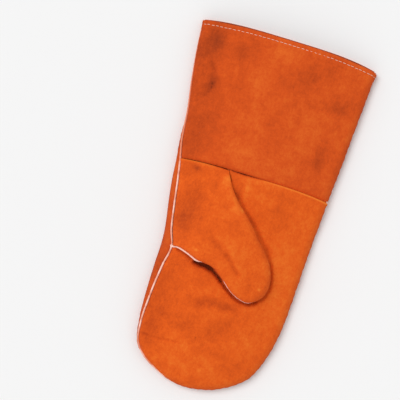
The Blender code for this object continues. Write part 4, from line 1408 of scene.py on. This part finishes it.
class MITT_OT_thumb(bpy.types.Operator):
    """Thumb, folded over on its right side from one piece of leather"""

    bl_idname = "mitt.thumb"
    bl_label = "Thumb"

    def execute(self, context):
        sizes, colours = context.scene.mitt_sizes, context.scene.mitt_colours
        self.build_outer(sizes, colours)
        self.build_inner(sizes, colours)
        return {"FINISHED"}

    def build_outer(self, sizes, colours):
        distance = steps_between(0.0, thumb.length, THUMB_ROW_STEP)[:, None]
        row = thumb_row(distance)
        halves = []
        for side, start in ((-1, thumb_start(row)), (1, row.fold_end)):
            reach = reach_of(row, side, THUMB_QUARTER, THUMB_IN)
            travel = spread_to(start, reach, THUMB_COLUMNS, CLOSER_AT_EDGE)
            halves.append((side, distance, travel, travel - start))
        surface = folded_shut(surface_of(thumb_point, thumb_row, halves))
        x, y = surface.x, surface.y
        below = cross_seam_y(x) - y
        left = np.arange(x.shape[1]) <= THUMB_COLUMNS
        calm = smooth_step(surface.from_edge / CALM_ON_THUMB)
        calm = calm * smooth_step(below / CALM_AT_CROSS_SEAM)
        broad = broad_form(x, y, THUMB_MARKS) * calm
        seam = seam_roll(surface, THUMB_SEAM_ROLL) + seam_pucker(surface, THUMB_MARKS)
        turning = smooth_step(1 - (thumb.length - surface.distance) / FOLD_TO_SEAM)
        fine = seam * np.where(left, 1.0, turning) + cross_seam_form(below, x)
        tight = 1 - smooth_step(surface.distance / TIGHT_ALONG)
        tight = tight * (1 - smooth_step(surface.from_edge / TIGHT_ACROSS))
        wall = sizes.wall / MM * (1 - TIGHTEST * np.where(left, 0.0, tight))
        # the thumb gets a share of the edges' painted shade
        tone, soil = dyed_and_shaded(surface, THUMB_MARKS, THUMB_EDGE_PAINTED_SHADE)
        piece = leather_sheet(
            "thumb_leather", moved(surface, broad + fine), moved(surface, broad - wall),
            tone, soil, hide_of("palm", "palm", colours), shut=True,
        )
        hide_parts("thumb_outer")

    def build_inner(self, sizes, colours):
        first = thumb.at[INNER_FACE_FROM]
        distance = steps_between(first, thumb.length, THUMB_ROW_STEP)
        surface = folded_shut(Surface(*self.under_face(distance[:, None])))
        none = np.zeros(surface.place.shape[:2])
        # painted shade: the inner face under the thumb is greyed all over
        piece = leather_sheet(
            "thumb_inner_leather", surface.place, moved(surface, none - sizes.wall / MM), none,
            none + UNDER_THUMB_PAINTED_SHADE, hide_of("palm", "palm", colours), faces_up=False, shut=True,
        )
        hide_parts("thumb_inner")

    def under_face(self, distance):
        """Rows under the thumb from its fold back to its lower edge, or to the hidden seam."""
        row = thumb_row(distance)
        start_right = inner_start_right(row)
        lift = np.clip(row.left_lift, LOWEST_EDGE_LIFT, THUMB_EDGE_LIFT)
        start_left = THUMB_SEAM_HALF * THUMB_EDGE_LIFT / lift
        reach_left = reach_of(row, -1, THUMB_QUARTER, THUMB_IN)
        right_part = reach_of(row, 1, THUMB_QUARTER, THUMB_IN) - start_right
        whole = right_part + reach_left - start_left

        def places(far):
            right = skin(thumb_point, thumb_row, 1, distance, -start_right - far)
            left = skin(thumb_point, thumb_row, -1, distance, far - right_part - reach_left)
            on_right = (far <= right_part)[..., None]
            return [np.where(on_right, *pair) for pair in zip(right, left)]

        far = whole * np.linspace(0.0, 1.0, INNER_SAMPLES)
        place, _ = places(far)
        x, y = place[..., 0], place[..., 1]
        edge_x, edge_y = np.array(INNER_EDGE).T
        hidden = (y > edge_y[0]) & (x < np.interp(y, edge_y, edge_x))
        end = np.max(np.where(hidden, 0.0, far), axis=1, keepdims=True)
        turns = np.linspace(0.0, math.pi, INNER_COLUMNS + 1)
        return places(end * (1 - np.cos(turns)) / 2)


def seam_path(point, row_at, side, distance, travel, sink):
    """The middle of a welt in a seam, below the skin."""
    place, outward = skin(point, row_at, side, distance, travel)
    return place - outward * sink


def pinched(path, radius):
    """Radii along a welt, drawn in where stitches pass behind it."""
    along = travelled(path)
    pinch = WELT_PINCH * np.cos(2 * math.pi * along / WELT_STITCH)
    return radius * (1 + pinch + WELT_UNEVEN * np.sin(along))


class MITT_OT_welts(bpy.types.Operator):
    """Pale strips of leather in the side seam and along the thumb's lower edge"""

    bl_idname = "mitt.welts"
    bl_label = "Welts"

    def execute(self, context):
        sizes, colours = context.scene.mitt_sizes, context.scene.mitt_colours
        radius, sink = sizes.welt_radius / MM, sizes.welt_sink / MM
        pale = welt_material(colours.welt, colours.welt_stain)
        distance = steps_between(radius, body.length, WELT_STEP)
        row = body.row(distance)
        left, right = (
            seam_path(body_point, body.row, side, distance, climb_of(row, side), sink)
            for side in (-1, 1)
        )
        thumb_path, shown = self.thumb_welt(sink)
        for name, node, path, share, paler in (
            ("side_seam_welt", "side_welt", np.vstack([left, right[-2::-1]]), 1.0, 0.0),
            ("thumb_seam_welt", "thumb_welt", thumb_path, shown, THUMB_WELT_PALER),
        ):
            places, faces = tube(path, pinched(path, radius) * share, WELT_SIDES)
            piece = mesh_object(name, places, faces, [pale])
            stained = STAINED * smooth_step((places[:, 1] - STAINED_FROM) / STAINED_OVER)
            give_points(piece, "soil", stained - paler)
            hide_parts(node)
        return {"FINISHED"}

    def thumb_welt(self, sink):
        """Out of the side seam at the crotch, along the lower edge and a little round the tip.

        It slips behind the leather half way along and hardly shows again.
        """
        crotch = thumb.at[CROTCH_STATION]
        distance = steps_between(crotch - WELT_LEAD, thumb.length, WELT_STEP)
        past = distance - crotch - WELT_SHOWS
        slips = smooth_step(past / WELT_SLIPS_OVER)
        returns = smooth_step((past - WELT_HIDDEN) / WELT_RETURNS_OVER)
        deep = sink - WELT_PROUD + WELT_SLIPS_BY * slips - WELT_RETURNS_BY * returns
        lower = seam_path(thumb_point, thumb_row, -1, distance, 0.0, deep[:, None])
        tail_at = steps_between(thumb.length, thumb.length - WELT_TAIL, WELT_TAIL_STEP)[1:]
        row = thumb_row(tail_at)
        middle = (row.fold_end - inner_start_right(row)) / 2
        tail = seam_path(thumb_point, thumb_row, 1, tail_at, middle, deep[-1])
        narrowed = np.linspace(1.0, WELT_TAIL_END, len(tail))
        shown = 1 + WELT_THICKER * (1 - slips)
        return np.vstack([lower, tail]), np.concatenate([shown, narrowed])


def wobble(number, waves):
    """How much one stitch differs from the next."""
    return sum(size * math.sin(number * turn) for size, turn in waves)


def stitch_shape(path, thread):
    """One stitch: thread that comes up, lies along the leather and goes down again."""
    share = np.linspace(0.0, 1.0, len(path))
    section = np.clip(1 - (2 * share - 1) ** THREAD_BLUNT, THREAD_END, 1.0)
    return tube(path, thread / 2 * np.sqrt(section), THREAD_SIDES)


class MITT_OT_stitches(bpy.types.Operator):
    """Thread that shows: the hem's stitch lines and the knot at the end of the cross seam"""

    bl_idname = "mitt.stitches"
    bl_label = "Stitches"

    def execute(self, context):
        sizes, colours = context.scene.mitt_sizes, context.scene.mitt_colours
        thread = thread_material(colours.thread)
        trim = sizes.front_trim / MM
        for name, shapes in (
            ("hem_stitches_front", self.hem_line(sizes, trim, faces_up=True)),
            ("hem_stitches_back", self.hem_line(sizes, 0.0, faces_up=False)),
            ("cross_seam_knot", self.knot(sizes)),
        ):
            places, faces = joined(shapes)
            mesh_object(name, places, faces, [thread])
        return {"FINISHED"}

    def knot(self, sizes):
        """Three turns of thread that fasten the cross seam at the right side seam."""
        thread = sizes.thread / MM
        place, outward = skin(
            body_point, body.row, 1, np.full(KNOT_TURNS, CROSS_SEAM_AT),
            KNOT_AT + KNOT_STEP * np.arange(KNOT_TURNS),
        )
        share = np.linspace(0.0, 1.0, STITCH_POINTS)
        lean, change = KNOT_LEAN
        rise = thread * (KNOT_RISE * np.sin(math.pi * share) - KNOT_SUNK)
        turns = []
        for number, (middle, out) in enumerate(zip(place, outward)):
            along = np.array([KNOT_STEP * (lean + change * number), KNOT_LENGTH, 0.0])
            path = middle + (share - KNOT_SHIFT)[:, None] * along + rise[:, None] * out
            turns.append(stitch_shape(path, KNOT_THREAD * thread))
        return turns

    def hem_line(self, sizes, trim, faces_up):
        """Stitches across the mitt, along a hem that falls short of the mouth by the trim."""
        share = np.linspace(0.0, 1.0, HEM_LINE_SAMPLES)
        facing = 1 if faces_up else -1
        halves = []
        for side in (-1, 1):
            distance = sizes.hem_stitch_line / MM + trim_at(side, share, trim)
            row = body.row(distance)
            start = climb_of(row, side) + facing * HEM_LINE_FROM
            end = facing * reach_of(row, side, EDGE_QUARTER, EDGE_IN)
            half = skin(body_point, body.row, side, distance, start + (end - start) * share)
            halves.append(half if side < 0 else [grid[-2::-1] for grid in half])
        place, outward = (np.concatenate(pair) for pair in zip(*halves))
        along = travelled(place)
        stitch, gap, thread = sizes.stitch / MM, sizes.stitch_gap / MM, sizes.thread / MM
        arch = 1 - (2 * np.linspace(0.0, 1.0, STITCH_POINTS) - 1) ** STITCH_FLAT
        shapes = []
        for number in range(int(along[-1] / (stitch + gap))):
            start = number * (stitch + gap) + gap / 2 + wobble(number, STITCH_ALONG)
            at = np.linspace(start, start + stitch, STITCH_POINTS)
            middle, out = (
                np.stack([np.interp(at, along, column) for column in grid.T], axis=1)
                for grid in (place, outward)
            )
            rise = thread / 2 + STITCH_ARCH + wobble(number, STITCH_RISE)
            middle = middle + out * (rise * arch - STITCH_SUNK)[:, None]
            middle[:, 1] += wobble(number, STITCH_ASIDE)
            if not faces_up:
                middle[:, 2] = np.maximum(middle[:, 2], thread / 2)
            shapes.append(stitch_shape(middle, thread))
        return shapes


class MITT_OT_stage(bpy.types.Operator):
    """Pale floor, soft light from the upper left and the camera straight above"""

    bl_idname = "mitt.stage"
    bl_label = "Stage"

    def execute(self, context):
        studio = context.scene.mitt_studio
        self.lay_floor(studio)
        self.hang_lights(context, studio)
        self.place_camera(context, studio)
        context.scene.view_settings.view_transform = "Standard"
        return {"FINISHED"}

    def lay_floor(self, studio):
        ends = (-FLOOR_HALF, FLOOR_HALF)
        corners = np.array([(x, y, 0.0) for x in ends for y in ends]) * MM
        data = bpy.data.meshes.new("studio_floor")
        data.from_pydata(corners.tolist(), [], [(0, 2, 3, 1)])
        data.materials.append(floor_material(studio.floor))
        floor = put_in_scene("studio_floor", data)
        floor.location.z = -FLOOR_BELOW * MM

    def hang_lights(self, context, studio):
        world = bpy.data.worlds.new("studio_fill")
        context.scene.world = world
        world.use_nodes = True
        background = world.node_tree.nodes["Background"]
        background.inputs["Color"].default_value = (1.0, 1.0, 1.0, 1.0)
        background.inputs["Strength"].default_value = studio.sky
        data = bpy.data.lights.new("key_softbox", "SUN")
        data.energy = studio.key_strength
        data.angle = math.radians(KEY_SPREAD)
        x, y = photo_direction(*KEY_FROM)
        key = put_in_scene("key_softbox", data)
        key.rotation_euler = Vector((-x, -y, -1.0)).to_track_quat("-Z", "Y").to_euler()

    def place_camera(self, context, studio):
        data = bpy.data.cameras.new("camera")
        data.sensor_fit = "HORIZONTAL"
        data.angle_x = 2 * math.atan(studio.view_width / 2 / studio.camera_height)
        camera = put_in_scene("camera", data)
        centre_x, centre_y = VIEW_CENTRE
        camera.matrix_world = (
            Matrix.Translation((centre_x * MM, centre_y * MM, studio.camera_height))
            @ Matrix.Rotation(math.radians(MITT_TURN), 4, "Z")
        )
        context.scene.camera = camera


def photo_direction(right, up):
    """A direction in the picture as one on the floor."""
    turn = math.radians(MITT_TURN)
    x = right * math.cos(turn) - up * math.sin(turn)
    y = right * math.sin(turn) + up * math.cos(turn)
    return x, y


SETTINGS = {"mitt_sizes": MittSizes, "mitt_colours": MittColours, "mitt_studio": MittStudio}
OPERATORS = [
    MITT_OT_back_panel, MITT_OT_cuff_front, MITT_OT_palm_panel, MITT_OT_thumb, MITT_OT_welts,
    MITT_OT_stitches, MITT_OT_stage,
]


class VIEW3D_PT_mitt(bpy.types.Panel):
    """The mitt's pieces, in the order in which they are made"""

    bl_label = "Work mitt"
    bl_idname = "VIEW3D_PT_mitt"
    bl_space_type = "VIEW_3D"
    bl_region_type = "UI"
    bl_category = "Mitt"

    def draw(self, context):
        for operator in OPERATORS:
            self.layout.operator(operator.bl_idname)
        for group in SETTINGS:
            settings = getattr(context.scene, group)
            column = self.layout.column()
            for name in settings.__annotations__:
                column.prop(settings, name)


def register():
    for group in SETTINGS.values():
        bpy.utils.register_class(group)
    for name, group in SETTINGS.items():
        setattr(bpy.types.Scene, name, bpy.props.PointerProperty(type=group))
    for operator in OPERATORS:
        bpy.utils.register_class(operator)
    bpy.utils.register_class(VIEW3D_PT_mitt)


def unregister():
    bpy.utils.unregister_class(VIEW3D_PT_mitt)
    for operator in reversed(OPERATORS):
        bpy.utils.unregister_class(operator)
    for name, group in SETTINGS.items():
        delattr(bpy.types.Scene, name)
        bpy.utils.unregister_class(group)


def main():
    register()
    bpy.ops.mitt.back_panel()
    bpy.ops.mitt.cuff_front()
    bpy.ops.mitt.palm_panel()
    bpy.ops.mitt.thumb()
    bpy.ops.mitt.welts()
    bpy.ops.mitt.stitches()
    bpy.ops.mitt.stage()
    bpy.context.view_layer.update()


if __name__ == "__main__":
    main()
